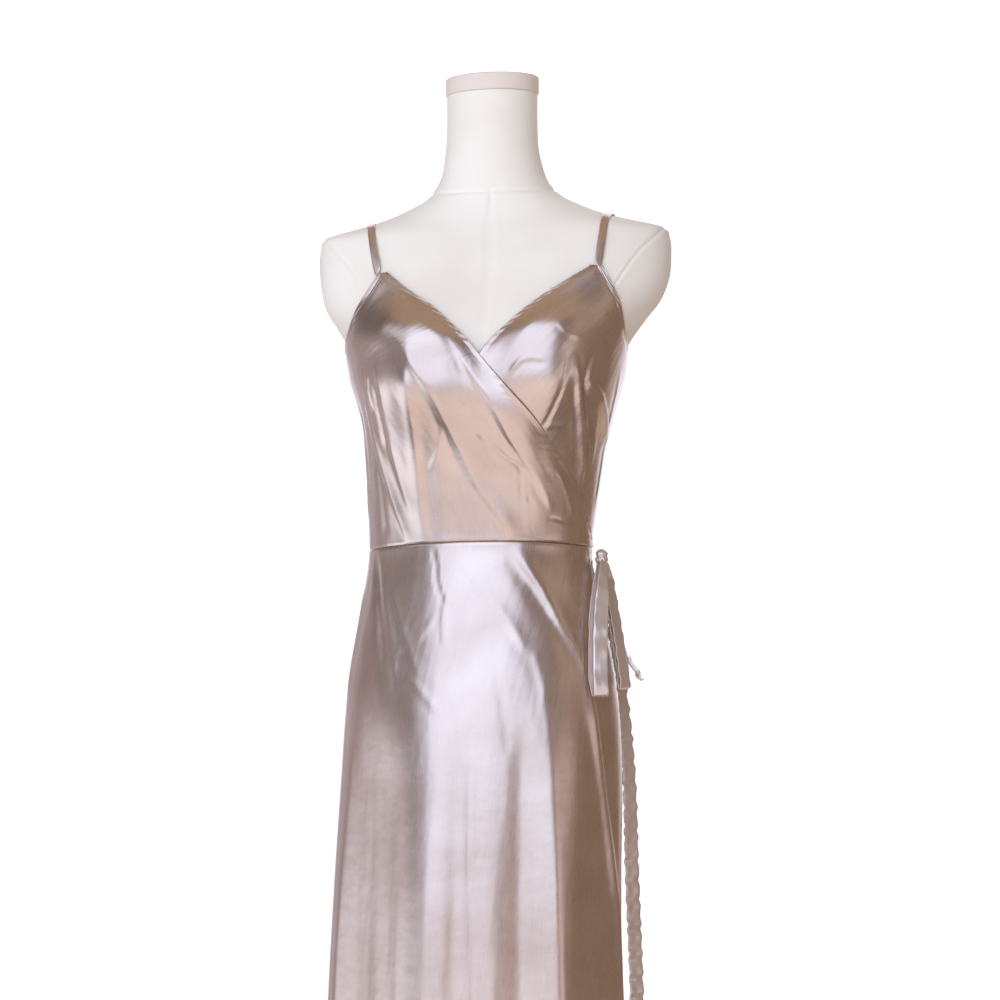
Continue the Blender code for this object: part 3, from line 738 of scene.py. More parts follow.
BODICE_OVER = (
    # height, left, right in mm, line from top to bottom as (degrees, z)
    (1.8, 3.4, 10.0, (
        (-31, 1.288), (-25, 1.254), (-17, 1.219), (-9, 1.175), (1, 1.123), (13, 1.086), (19, 1.060),
    )),
    (1.3, 2.8, 8.5, ((-12, 1.288), (-3, 1.246), (8, 1.194), (16, 1.166), (30, 1.123), (38, 1.096))),
    (2.4, 12.0, 6.0, ((-26, 1.290), (-29, 1.216), (-29, 1.177), (-28, 1.120), (-26, 1.050))),
    (1.4, 3.2, 5.2, ((-54, 1.240), (-59, 1.202), (-57, 1.170), (-46, 1.117), (-38, 1.080), (-35, 1.060))),
    (-1.8, 5.0, 5.0, ((-46, 1.242), (-48, 1.213), (-48, 1.190), (-47, 1.165))),
    (1.3, 3.4, 6.0, ((-44, 1.266), (-43, 1.232), (-45, 1.196), (-42, 1.160), (-36, 1.118), (-31, 1.088))),
    (1.0, 2.0, 2.0, ((-50, 1.248), (-53, 1.228), (-54, 1.206))),
    (-0.8, 4.0, 5.0, ((-58, 1.150), (-54, 1.111), (-52, 1.064))),
    (0.4, 5.0, 8.0, ((-19, 1.328), (-22, 1.317), (-29, 1.303), (-40, 1.277))),
    (0.7, 1.8, 2.6, ((1, 1.209), (0, 1.188), (2, 1.166))),
    (0.5, 1.6, 1.8, ((-6, 1.187), (-1, 1.185), (3, 1.175))),
    (-1.0, 2.4, 2.4, ((2, 1.178), (10, 1.160), (17, 1.148), (19, 1.128), (21, 1.106))),
    (0.8, 1.6, 1.6, ((18, 1.148), (20, 1.125), (22, 1.106))),
    (0.6, 1.6, 1.8, ((35, 1.094), (44, 1.089), (52, 1.084))),
    (0.6, 2.0, 2.2, ((-18, 1.212), (-15, 1.192), (-17, 1.166), (-23, 1.138))),
    (0.9, 2.0, 3.0, ((36, 1.146), (46, 1.112), (51, 1.092))),
    (0.6, 2.2, 3.5, ((-14, 1.120), (-8, 1.098), (-4, 1.074))),
    (-0.6, 3.0, 4.0, ((-70, 1.225), (-74, 1.170), (-72, 1.110))),
    (0.7, 2.6, 3.6, ((-82, 1.190), (-78, 1.140), (-80, 1.085))),
)
BODICE_UNDER = (
    # height, left, right in mm, line from top to bottom as (degrees, z)
    (-1.2, 1.5, 1.5, ((34, 1.268), (33, 1.231), (30, 1.208), (25, 1.180))),
    (1.1, 1.5, 1.8, ((26, 1.190), (33, 1.190), (41, 1.191))),
    (2.4, 4.2, 2.4, ((36, 1.266), (40, 1.240), (45, 1.216), (51, 1.186), (56, 1.155), (56, 1.110))),
    (-2.0, 4.4, 4.4, ((37, 1.240), (41, 1.206), (46, 1.176), (52, 1.138))),
    (-1.8, 2.8, 3.2, ((48, 1.270), (45, 1.245), (46, 1.221), (52, 1.196), (60, 1.165), (60, 1.110))),
    (0.8, 3.2, 3.4, ((46, 1.252), (47, 1.232), (50, 1.214))),
    (3.0, 14.0, 1.8, ((44, 1.236), (54, 1.228), (63, 1.212), (73, 1.191), (82, 1.166))),
    (1.3, 4.0, 4.5, ((49, 1.226), (57, 1.206), (62, 1.176), (62, 1.135))),
    (0.8, 2.0, 2.4, ((9, 1.240), (14, 1.254), (19, 1.257), (26, 1.254))),
    (0.8, 2.6, 4.0, ((72, 1.250), (76, 1.205), (80, 1.150), (79, 1.090))),
    (0.5, 2.0, 2.5, ((24, 1.290), (31, 1.280), (38, 1.276))),
)
BODICE_BACK = (
    # height, left, right in mm, line from top to bottom as (degrees, z)
    (1.6, 3.0, 7.0, ((128, 1.215), (138, 1.165), (146, 1.110), (150, 1.066))),
    (1.3, 6.0, 2.8, ((228, 1.205), (220, 1.160), (213, 1.110), (210, 1.066))),
    (0.9, 2.4, 3.0, ((172, 1.215), (170, 1.150), (173, 1.085))),
    (-0.9, 2.0, 2.0, ((152, 1.130), (154, 1.095), (152, 1.060))),
    (-0.9, 2.0, 2.0, ((208, 1.130), (206, 1.095), (208, 1.060))),
    (0.7, 2.0, 3.6, ((105, 1.190), (112, 1.150), (116, 1.100))),
    (0.8, 2.0, 3.0, ((186, 1.170), (194, 1.125), (198, 1.080))),
    (0.7, 3.4, 2.2, ((254, 1.200), (249, 1.150), (250, 1.090))),
)


def waist_height(angle):
    """The waist seam, which rises over the front."""
    return WAIST + WAIST_RISE * np.clip(np.cos(np.radians(angle - WAIST_PEAK)), 0, 1) ** 1.3


def angle_at(x, z):
    """Degrees round from the front of the form's section at z, where it is x from the middle."""
    half_width, squareness = between(FORM, z)[..., 0], between(FORM, z)[..., 3]
    turned = np.degrees(np.arcsin(np.clip(np.abs(x) / half_width, 0, 1) ** (squareness / 2)))
    return np.copysign(turned, x)


def over_layer(angle, z):
    """Inner face of the upper panel, which comes in to the form at its side and its cup."""
    lifted = ease((angle + SIDE_SEAM) / 13) * ease((1.315 - z) / 0.04)
    return LAYER_1 + (LAYER_2 - LAYER_1) * lifted


def blouse(points, edges):
    """How the upper front stands out over the ribs before the waist seam draws it in."""
    level = ease(edges["bottom"] / BLOUSE["rise"])
    level = level * (1 - ease((points[:, 2] - BLOUSE["z"]) / BLOUSE["fade"]))
    inside = ease((points[:, 0] - BLOUSE["x"]) / BLOUSE["side"])
    return BLOUSE["out"] * level * ease(edges["right"] / BLOUSE["edge"]) * inside


def cup(points, edges, free):
    """The fullness over the top of the bust, where the cup is eased on to the crossover."""
    level = np.exp(-(((points[:, 2] - CUP["z"]) / CUP["tall"]) ** 2))
    over = np.exp(-(((np.abs(points[:, 0] - CUP["lean"]) - CUP["x"]) / CUP["wide"]) ** 2))
    held = ease(edges[free] / CUP["edge"]) * ease((edges["top"] - CUP["hem"]) / CUP["top"])
    return CUP["out"] * level * over * held


# %% [markdown]
# ## Cutting the bodice
#
# Both fronts are the same pattern piece turned over, as they are in a real wrap, so one function
# lays either of them between its armhole and the crossover. A second one sews it: seams at the
# waist and the side, narrow hems along the free edge and the armhole, and its own creases. The
# back is a plain band with a hemmed top.

# %% Bodice panels
def front_where(side, layer):
    """Where a front's grid points lie. Side -1 is the wearer's right, and 1 the wearer's left."""

    def where(u, v):
        z = WAIST + GAP / 2 + (APEX - WAIST) * v
        armhole = between(ARMHOLE, z)[..., 0] - SIDE_CLEAR
        edge = angle_at(between(CROSSOVER, z)[..., 0 if side < 0 else 1], z)
        along = u if side < 0 else 1 - u
        angle = -side * (-armhole + (edge + armhole) * along)
        z = z + (waist_height(angle) - WAIST) * (1 - v) ** 2
        points, out = skin(FORM, angle, z)
        return points, out, layer(angle, z) + WALL

    return where


def front_relief(side, rows):
    """Seams, hems and creases of a front."""

    def relief(points, out, edges):
        free, seamed = ("right", "left") if side < 0 else ("left", "right")
        low = ease((UNDERARM + 0.004 - points[:, 2]) / 0.008)
        total = creases(FORM, rows, points, out) * ease(edges["bottom"] / EDGE_FADE)
        total += seam(edges["bottom"]) + seam(edges[seamed]) * low
        total += hem(edges[seamed], edges["bottom"], 0.0002) * (1 - low)
        total += 0.5 * hem(edges[free], edges["bottom"], 0.0004)
        close = np.minimum(edges[free], edges[seamed] + low)
        total -= CLOSE_IN * ease((CLOSE_BAND - close) / CLOSE_BAND)
        total += cup(points, edges, free) * ease(edges[seamed] / CUP["seam"])
        if side < 0:
            total += blouse(points, edges)
        return total + hang(points, BODICE_HANG)

    return relief


def first_layer(angle, z):
    """Inner face of a panel that lies next to the form."""
    return LAYER_1 + 0 * z


bodice_over = panel(
    "bodice_front_over", 170, 190, front_where(-1, over_layer), front_relief(-1, BODICE_OVER),
)
bodice_under = panel(
    "bodice_front_under", 150, 170, front_where(1, first_layer), front_relief(1, BODICE_UNDER),
)


def back_where(u, v):
    """The back lies straight across from underarm to underarm."""
    angle = SIDE_SEAM + SIDE_CLEAR + (360 - 2 * SIDE_SEAM - 2 * SIDE_CLEAR) * u
    top = UNDERARM - BACK_DIP * (1 - np.abs(2 * u - 1) ** 2.5)
    bottom = waist_height(angle) + GAP / 2
    points, out = skin(FORM, angle, bottom + (top - bottom) * v)
    return points, out, LAYER_1 + WALL + 0 * u


def back_relief(points, out, edges):
    """Seams, the hemmed top edge and the creases of the back."""
    total = creases(FORM, BODICE_BACK, points, out) * ease(edges["bottom"] / EDGE_FADE)
    total += seam(edges["bottom"]) + seam(edges["left"]) + seam(edges["right"])
    close = BACK_CLOSE_IN * ease((BACK_CLOSE_BAND - edges["top"]) / BACK_CLOSE_BAND)
    total += hem(edges["top"], edges["left"], 0.0003) - close
    return total + hang(points, BODICE_HANG)


bodice_back = panel("bodice_back", 150, 100, back_where, back_relief)

# %% [markdown]
# ## The wrap skirt
#
# The skirt is one length of satin that goes round and overlaps at the wearer's left. It hangs in
# deep soft folds that start below the hip, each of its own width and depth, and it still carries
# the packing creases from its bag. The folds are wide bumps in degrees round the body, and the
# sharper lines are creases like the bodice's. The lower panel follows the same folds.

# %% Skirt measurements
HEM_HEIGHT = 0.055
UNDER_REACH = -30.0  # degrees: how far the lower panel goes past the middle
SKIRT_CLEAR = 0.07  # degrees left free at each side seam
WRAP_TOP, WRAP_DROP = 80, 8  # degrees: the free edge at the waist, and how much further it drops
SKIRT_CLOSE_IN, SKIRT_CLOSE_BAND = 0.0016, 0.014
SKIRT_HANG, HANG_OVER = 0.00025, 0.2
FOLDS = (
    # angle, left, right, depth, top_z
    (-73, 12, 11, 0.019, 0.95),
    (-17, 15, 9, 0.023, 0.95),
    (6, 7, 8, 0.012, 0.92),
    (37, 11, 12, 0.025, 0.96),
    (74, 10, 12, 0.014, 0.96),
    (112, 13, 13, 0.020, 0.94),
    (146, 13, 12, 0.018, 0.92),
    (180, 12, 14, 0.022, 0.90),
    (212, 13, 12, 0.019, 0.93),
    (246, 14, 12, 0.021, 0.94),
)
FOLD_VALLEY = 0.09  # part of a fold's depth that is taken off all round
FOLD_EARLY = 0.6  # part of its depth that it reaches in its first third
SKIRT_FRONT = (
    # height, left, right in mm, line from top to bottom as (degrees, z)
    (2.4, 5.0, 12.0, ((17, 1.068), (25, 1.041), (32, 1.018), (41, 0.977), (48, 0.948), (51, 0.915))),
    (3.4, 7.0, 4.0, (
        (49, 0.945), (53, 0.900), (56, 0.857), (61, 0.797), (66, 0.748), (71, 0.695), (75, 0.640),
        (77, 0.400), (77, 0.100),
    )),
    (0.7, 3.2, 7.0, ((-8, 1.052), (2, 1.022), (9, 0.999), (16, 0.975), (23, 0.945))),
    (-1.5, 5.0, 6.0, ((-66, 1.060), (-54, 1.003), (-45, 0.951), (-40, 0.890))),
    (1.0, 4.0, 6.0, ((-60, 1.058), (-49, 1.003), (-40, 0.955), (-35, 0.905))),
    (-0.7, 1.6, 1.6, ((-21, 1.064), (-19, 1.042), (-18, 1.024), (-14, 0.998))),
    (1.3, 3.2, 2.6, (
        (-1, 0.890), (-1, 0.831), (-1, 0.779), (0, 0.717), (1, 0.656), (2, 0.619), (3, 0.400),
        (3, 0.120),
    )),
    (0.6, 1.4, 1.6, ((33, 0.775), (33, 0.715), (34, 0.640))),
    (0.5, 2.6, 4.4, ((-46, 1.020), (-38, 0.988), (-30, 0.955), (-23, 0.920))),
    (0.4, 2.0, 3.6, ((-29, 1.030), (-33, 0.990), (-36, 0.950), (-37, 0.905))),
    (0.4, 1.8, 3.6, ((-18, 0.990), (-26, 0.965), (-36, 0.940))),
    (0.6, 2.0, 3.0, ((-30, 0.930), (-20, 0.905), (-12, 0.885))),
    (0.5, 1.8, 2.4, ((-12, 1.020), (-14, 0.985), (-12, 0.950))),
    (-0.5, 4.0, 4.5, ((6, 0.945), (11, 0.890), (13, 0.840))),
    (0.4, 3.4, 6.0, ((24, 0.960), (28, 0.915), (29, 0.860))),
    (0.8, 3.0, 3.0, ((-80, 1.020), (-76, 0.960), (-78, 0.890))),
)
SKIRT_FALL = (
    # height, left, right in mm, line from top to bottom as (degrees, z)
    (-1.8, 12.0, 8.0, ((18, 0.900), (20, 0.800), (21, 0.650), (22, 0.400), (22, 0.080))),
    (-0.9, 9.0, 7.0, ((-5, 0.880), (-6, 0.750), (-5, 0.600), (-5, 0.400), (-5, 0.080))),
    (-1.4, 10.0, 12.0, ((-38, 0.880), (-36, 0.750), (-34, 0.600), (-33, 0.400), (-33, 0.080))),
    (1.3, 8.0, 7.0, ((30, 0.900), (32, 0.800), (34, 0.680), (36, 0.400), (36, 0.080))),
    (1.0, 7.0, 9.0, ((-62, 0.900), (-64, 0.750), (-66, 0.600), (-67, 0.350), (-67, 0.080))),
)
SKIRT_BACK = (
    # height, left, right in mm, line from top to bottom as (degrees, z)
    (1.8, 3.2, 8.0, ((130, 1.048), (140, 1.010), (147, 0.965), (150, 0.905))),
    (1.6, 7.0, 3.0, ((232, 1.048), (222, 1.005), (214, 0.955), (211, 0.890))),
    (-1.0, 1.6, 1.6, ((152, 1.050), (153, 1.020), (156, 0.985))),
    (-1.0, 1.6, 1.6, ((208, 1.050), (207, 1.020), (204, 0.985))),
    (1.0, 2.4, 3.2, ((168, 1.035), (172, 0.985), (170, 0.930))),
    (0.8, 2.2, 2.8, ((190, 1.010), (184, 0.960), (186, 0.900))),
    (0.8, 5.0, 4.4, ((196, 0.880), (195, 0.760), (197, 0.600), (198, 0.300))),
    (0.7, 4.6, 5.4, ((162, 0.860), (163, 0.720), (161, 0.500), (160, 0.200))),
    (0.9, 2.2, 3.0, ((112, 1.020), (117, 0.975), (116, 0.925))),
    (0.8, 2.4, 2.6, ((250, 1.010), (246, 0.960), (248, 0.905))),
)


def fold(angle, z):
    """How far the skirt's folds stand out of its sections."""
    total = 0.0
    for centre, left, right, depth, top in FOLDS:
        away = (angle - centre + 180) % 360 - 180
        spread = np.where(away < 0, left, right)
        down = np.clip((top - z) / (top - HEM_HEIGHT), 0, None)
        growth = FOLD_EARLY * ease(3 * down) + (1 - FOLD_EARLY) * down
        total = total + depth * growth * (np.exp(-((away / spread) ** 2) / 2) - FOLD_VALLEY)
    return total


def wrap_edge(down):
    """The skirt's free edge, which drops just in front of the side seam."""
    return WRAP_TOP + WRAP_DROP * ease(down * 4)


# %% [markdown]
# ## Cutting the skirt
#
# Each panel runs from one angle round the body to another, and hangs from the waist seam to the
# hem. The folds belong to the skirt and not to a panel, so the inner front follows the outer one.
# The free edges have a narrow hem that comes in towards the body, and the others are seams.

# %% Skirt panels
def skirt_where(start, end, layer):
    """Where a skirt panel's grid points lie, from start to end round the body."""

    def where(u, v):
        first, last = start(1 - v), end(1 - v)
        angle = first + (last - first) * u
        top = waist_height(angle) - GAP / 2
        z = HEM_HEIGHT + (top - HEM_HEIGHT) * v
        points, out = skin(SKIRT, angle, z)
        return points, out, layer(angle, z) + fold(angle, z) + WALL

    return where


def skirt_relief(rows, free=None):
    """The waist seam, the hems and the creases of a skirt panel."""

    def relief(points, out, edges):
        total = creases(SKIRT, rows, points, out) * ease(edges["top"] / EDGE_FADE)
        total += seam(edges["top"]) + hem(edges["bottom"], edges["left"], 0.0004)
        for side in ("left", "right"):
            if side == free:
                total += hem(edges[side], edges["top"], 0.0004)
                close = ease((SKIRT_CLOSE_BAND - edges[side]) / SKIRT_CLOSE_BAND)
                total -= SKIRT_CLOSE_IN * close
            else:
                total += seam(edges[side], 0.0010)
        return total + hang(points, SKIRT_HANG) * ease(edges["top"] / HANG_OVER)

    return relief


def fixed(angle):
    """An edge that hangs straight down at one angle."""
    return lambda down: angle + 0 * down


side = SIDE_SEAM - SKIRT_CLEAR
back_side = SIDE_SEAM + SKIRT_CLEAR
skirt_over = panel(
    "skirt_front_over", 190, 230, skirt_where(fixed(-side), wrap_edge, over_layer),
    skirt_relief(SKIRT_FRONT + SKIRT_FALL, "right"),
)
skirt_under = panel(
    "skirt_front_under", 90, 130, skirt_where(fixed(UNDER_REACH), fixed(side), first_layer),
    skirt_relief((), "left"),
)
skirt_back = panel(
    "skirt_back", 170, 200, skirt_where(fixed(back_side), fixed(360 - back_side), first_layer),
    skirt_relief(SKIRT_BACK),
)

# %% [markdown]
# ## The side tie
#
# The tie is a narrow tube of satin, turned and pressed flat, knotted in a bow at the wearer's
# left. Each end is laid along a line that hangs from the knot: two loops that fold back on
# themselves and two tails. Pressed tubes pucker where their seam is tight, so small waves run
# across them, closer together on the long tail. The knot is a ball pinched by gathers.

# %% Tie measurements
LOOP_FRONT = (
    # z, angle, out, yaw, width
    (1.0460, 77, 0.0200, 60, 0.009),
    (1.0300, 71, 0.0230, 40, 0.013),
    (1.0000, 63, 0.0245, 25, 0.016),
    (0.9600, 57, 0.0240, 20, 0.016),
    (0.9200, 54, 0.0240, 18, 0.016),
    (0.9060, 54, 0.0230, 18, 0.016),
    (0.9040, 54, 0.0210, 18, 0.016),
    (0.9070, 54, 0.0185, 18, 0.016),
    (0.9250, 54, 0.0170, 20, 0.016),
    (0.9600, 57, 0.0170, 22, 0.016),
    (1.0000, 63, 0.0175, 28, 0.016),
    (1.0300, 71, 0.0175, 45, 0.012),
    (1.0415, 75, 0.0160, 60, 0.009),
)
LOOP_BACK = (
    # z, angle, out, yaw, width
    (1.0460, 82, 0.0190, 75, 0.008),
    (1.0300, 84, 0.0220, 65, 0.012),
    (1.0000, 81, 0.0205, 58, 0.017),
    (0.9600, 80, 0.0190, 55, 0.017),
    (0.9200, 80, 0.0185, 52, 0.017),
    (0.9080, 80, 0.0180, 52, 0.017),
    (0.9060, 80, 0.0165, 52, 0.017),
    (0.9085, 80, 0.0150, 55, 0.017),
    (0.9250, 82, 0.0140, 62, 0.017),
    (0.9600, 82, 0.0140, 66, 0.017),
    (1.0000, 83, 0.0150, 70, 0.016),
    (1.0300, 84, 0.0160, 78, 0.012),
    (1.0415, 84, 0.0160, 85, 0.008),
)
TAIL_SHORT = (
    # z, angle, out, yaw, width
    (1.0415, 90, 0.0180, 95, 0.008),
    (1.0200, 97, 0.0190, 95, 0.013),
    (0.9900, 100, 0.0180, 90, 0.016),
    (0.9600, 99, 0.0180, 85, 0.017),
    (0.9400, 97, 0.0220, 80, 0.017),
    (0.9200, 96, 0.0310, 75, 0.017),
    (0.9120, 96, 0.0350, 75, 0.014),
)
TAIL_LONG = (
    # z, angle, out, yaw, width
    (1.0415, 90, 0.0120, 95, 0.008),
    (1.0200, 97, 0.0130, 95, 0.013),
    (0.9900, 101, 0.0120, 90, 0.017),
    (0.9400, 102, 0.0110, 60, 0.018),
    (0.8800, 98, 0.0118, 48, 0.018),
    (0.8000, 95, 0.0138, 42, 0.018),
    (0.7000, 92, 0.0155, 38, 0.018),
    (0.6000, 91, 0.0175, 38, 0.018),
    (0.5000, 91, 0.0175, 38, 0.018),
    (0.4100, 91, 0.0175, 40, 0.018),
)
TIE_THICK = 0.0014
TIE_EDGE_IN = 0.0004  # the pressed edges are thinner
TIE_COLUMNS = 12

# %% [markdown]
# ## Pressing the tie
#
# A strip is a panel like the others, but its grid is laid along a line in the air: each row of a
# table gives a point on that line, which way the strip faces and how wide it is there. Puckers
# run across it at a slant and are strongest at its edges.

# %% Tie pieces
def tie_strip(name, table, rows, waves, height, slant):
    """A pressed tube of satin along a table's line, with puckers of the given spacing and height."""
    rows_in = np.array(table, float)
    points, out = skin(SKIRT, rows_in[:, 1], rows_in[:, 0])
    points = points + out * rows_in[:, 2:3]
    lengths = np.concatenate([[0], np.cumsum(np.linalg.norm(np.diff(points, axis=0), axis=1))])
    line = np.column_stack([lengths, points, rows_in[:, 3:]])

    def where(u, v):
        at = lengths[-1] * v
        x, y, z, yaw, width = np.moveaxis(between(line, at), -1, 0)
        ahead = between(line, at + 0.001)[:, :3] - between(line, at - 0.001)[:, :3]
        sideways = np.stack([np.cos(np.radians(yaw)), np.sin(np.radians(yaw)), 0 * yaw], -1)
        normal = np.cross(sideways, -ahead)
        normal /= np.linalg.norm(normal, axis=1, keepdims=True)
        middle = np.stack([x, y, z], -1) + sideways * (width * (0.5 - u))[:, None]
        return middle, normal, 0 * u + TIE_THICK / 2

    def relief(points, out, edges):
        along, across = edges["bottom"], edges["left"] + edges["right"]
        middle = np.clip(1 - np.abs(edges["left"] - edges["right"]) / across, 0, 1)
        phase = along / waves * 2 * np.pi + slant * (edges["left"] / across - 0.5)
        tight = np.sin(phase + 0.8 * np.sin(along * 61)) + 0.5 * np.sin(1.7 * phase + 1.0)
        at_edges = 0.35 + 0.65 * (1 - middle)
        return height * tight * at_edges - TIE_EDGE_IN * (1 - ease(middle * 5))

    made = panel(name, TIE_COLUMNS, rows, where, relief, TIE_THICK, satin_tube)
    return made, float(lengths[-1])


loop_front, loop_front_run = tie_strip("tie_loop_front", LOOP_FRONT, 150, 0.034, 0.0007, 2.0)
loop_back, loop_back_run = tie_strip("tie_loop_back", LOOP_BACK, 150, 0.019, 0.0005, 3.5)
tail_short, tail_short_run = tie_strip("tie_tail_short", TAIL_SHORT, 90, 0.016, 0.0008, 2.5)
tail_long, tail_long_run = tie_strip("tie_tail_long", TAIL_LONG, 300, 0.018, 0.0011, 2.5)
tie_runs = (loop_front_run, loop_back_run, tail_short_run, tail_long_run)
print("tie ends, mm:", [round(run * 1000) for run in tie_runs])

# %% [markdown]
# ## The knot
#
# The loops and the tails all come out of one small tight knot. It is a ball of cloth, drawn in
# round its middle where the tie passes over it, with slanting gathers all round.

# %% Tie knot
KNOT = (0.0078, 0.0075, 0.0092)  # half sizes: round the waist, outwards, up
KNOT_TURN = 79.0
KNOT_DROP = 0.007  # below the waist seam
KNOT_CLEAR = 0.002
PINCH, PINCH_AT, PINCH_TALL = 0.20, 0.1, 0.3  # how the ball is drawn in, on a ball of radius 1

knot_mesh = bmesh.new()
bmesh.ops.create_uvsphere(knot_mesh, u_segments=72, v_segments=44, radius=1)
base, base_out = skin(SKIRT, np.array([KNOT_TURN]), np.array([WAIST - KNOT_DROP]))
centre = Vector(base[0]) + Vector(base_out[0]) * (LAYER_2 + WALL + KNOT[1] + KNOT_CLEAR)
tangent = Vector((math.cos(math.radians(KNOT_TURN)), math.sin(math.radians(KNOT_TURN)), 0))
outward = Vector((tangent.y, -tangent.x, 0))
for vertex in knot_mesh.verts:
    at = vertex.co.copy()
    round_it = math.atan2(at.y, at.x)
    gather = 0.04 * math.sin(9 * round_it + 3.5 * at.z) + 0.03 * math.sin(15 * round_it - 5 * at.z)
    drawn_in = PINCH * math.exp(-(((at.z - PINCH_AT) / PINCH_TALL) ** 2))
    pinch = 1 - drawn_in + gather * (1 - at.z * at.z)
    vertex.co = (
        centre
        + tangent * at.x * KNOT[0] * pinch
        - outward * at.y * KNOT[1] * pinch
        + Vector((0, 0, at.z * KNOT[2]))
    )
bmesh.ops.recalc_face_normals(knot_mesh, faces=knot_mesh.faces)
knot_map = np.array([(v.co.x + v.co.y, v.co.z) for v in knot_mesh.verts])
knot = show(knot_mesh, "tie_knot", "satin", (satin_tube,), knot_map)
print("knot:", len(knot.data.polygons), "faces")

# %% [markdown]
# ## The straps
#
# Each strap is a narrow turned tube, sewn under the point of the cup and to the back's top edge.
# Its line over the shoulder is already in the CAD node, so a merged copy of that node is taken,
# its ends are drawn on a few millimetres so that they tuck behind the edges they are sewn to, and
# a subdivision surface rounds it the way a turned tube is round.

# %% Strap pieces
STRAP_MERGE = 0.00005
STRAP_END = 0.0015  # a vertex this close above the lowest one belongs to the end
STRAP_SMOOTHING = 0.15


def strap(name, tuck_front, tuck_back):
    """A rounded copy of a CAD strap, with its ends drawn on to tuck under the edges."""
    tube = bmesh.new()
    tube.from_mesh(bpy.data.objects[name].data)
    bmesh.ops.remove_doubles(tube, verts=tube.verts, dist=STRAP_MERGE)
    bmesh.ops.join_triangles(
        tube, faces=tube.faces, angle_face_threshold=0.9, angle_shape_threshold=1.2, cmp_seam=False,
    )
    ends = []
    for way, tuck in ((-1, tuck_front), (1, tuck_back)):
        there = [v for v in tube.verts if v.co.y * way > 0]
        low = min(v.co.z for v in there)
        low = round(low, 4) if way < 0 else low  # the front end's height, to 0.1 mm
        end = [v for v in there if v.co.z < low + STRAP_END]
        bmesh.ops.translate(tube, verts=end, vec=tuck)
        ends += end
    bmesh.ops.smooth_vert(
        tube, verts=[v for v in tube.verts if v not in ends], factor=STRAP_SMOOTHING,
        use_axis_x=True, use_axis_y=True, use_axis_z=True,
    )
    strap_map = np.array([(v.co.x, v.co.z + v.co.y) for v in tube.verts])
    made = show(tube, name, "satin", (satin_face,), strap_map)
    rounder = made.modifiers.new("turned tube", "SUBSURF")
    rounder.levels = rounder.render_levels = 2
    print(name, "has", len(made.data.polygons), "faces before rounding")
    return made


strap_right = strap("strap_right", (0.0008, -0.0010, -0.0055), (0, 0.0003, -0.0060))
strap_left = strap("strap_left", (-0.0008, -0.0010, -0.0055), (0, 0.0003, -0.0060))

# %% [markdown]
# ## The dress form
#
# The form is a padded torso under tight jersey, with caps where the arms would be. Its seams are
# what make it look real: one down the middle of the front and back, one round the neck and one
# round each shoulder cap. A grid is wrapped round the sections, made finer near each seam while
# it is still flat, and then moved to its place with a small groove along every seam.

# %% Form torso
NECK_TOP = 1.550
NECK_SEAM, NECK_SEAM_DIP = 1.4445, 0.004
NO_SEAM = 1.0  # metres: far from any seam
ARM_FROM_X, ARM_FROM_Z = 0.118, 1.28
ARM_SLOPE = 0.66  # a height beside the sloping arm seam, as a distance from it
GROOVE, GROOVE_WIDE = 0.0011, 0.0013
SWELL, SWELL_AWAY, SWELL_WIDE = 0.0004, 0.0042, 0.0022  # the padding beside a seam
SHARP = 50  # degrees: an edge that turns more than this is shown sharp
ARM_SEAM = (
    # x from the middle, z
    (0.118, 1.300),
    (0.133, 1.333),
    (0.146, 1.355),
    (0.160, 1.373),
    (0.186, 1.398),
    (0.200, 1.410),
)


def seam_distance(points, angle, z):
    """Distance from the nearest of the form's seams."""
    middle = np.minimum(np.abs(angle), np.abs(np.abs(angle) - 180))
    level = between(FORM, z)
    middle = np.radians(middle) * np.maximum(level[:, 0], 0.045)
    neck = np.abs(z - NECK_SEAM + NECK_SEAM_DIP * np.cos(np.radians(angle)))
    middle = np.where(z > NECK_SEAM, NO_SEAM, middle)
    x = points[:, 0] - level[:, 4]
    local = points[:, 2] - TILT * x
    edge = between(ARM_SEAM, np.abs(x))[:, 0]
    on_arm = (np.abs(x) > ARM_FROM_X) & (local > ARM_FROM_Z)
    arm = np.where(on_arm, np.abs(local - edge) * ARM_SLOPE, NO_SEAM)
    return np.minimum(np.minimum(middle, neck), arm)


torso_mesh = bmesh.new()
bmesh.ops.create_grid(torso_mesh, x_segments=120, y_segments=150, size=0.5)


def torso_place(mesh_data):
    """Angle, height, point and outward direction of each flat grid point."""
    u, v = flat_places(mesh_data)
    angle = -180 + 360 * u
    z = FORM[0][0] + (NECK_TOP - FORM[0][0]) * v
    points, out = skin(FORM, angle, z)
    return angle, z, points, out


for reach in (0.010, 0.005):
    angle, z, points, out = torso_place(torso_mesh)
    gap = seam_distance(points, angle, z)
    torso_mesh.verts.ensure_lookup_table()
    torso_mesh.verts.index_update()
    close = [e for e in torso_mesh.edges if min(gap[e.verts[0].index], gap[e.verts[1].index]) < reach]
    bmesh.ops.subdivide_edges(torso_mesh, edges=close, cuts=1, use_grid_fill=True)
angle, z, points, out = torso_place(torso_mesh)
gap = seam_distance(points, angle, z)
groove = -GROOVE * np.exp(-((gap / GROOVE_WIDE) ** 2))
groove += SWELL * np.exp(-(((gap - SWELL_AWAY) / SWELL_WIDE) ** 2))
for vertex, point in zip(torso_mesh.verts, points + out * groove[:, None]):
    vertex.co = point
bmesh.ops.remove_doubles(torso_mesh, verts=torso_mesh.verts, dist=0.0002)
bmesh.ops.holes_fill(torso_mesh, edges=[e for e in torso_mesh.edges if e.is_boundary], sides=0)
bmesh.ops.recalc_face_normals(torso_mesh, faces=torso_mesh.faces)
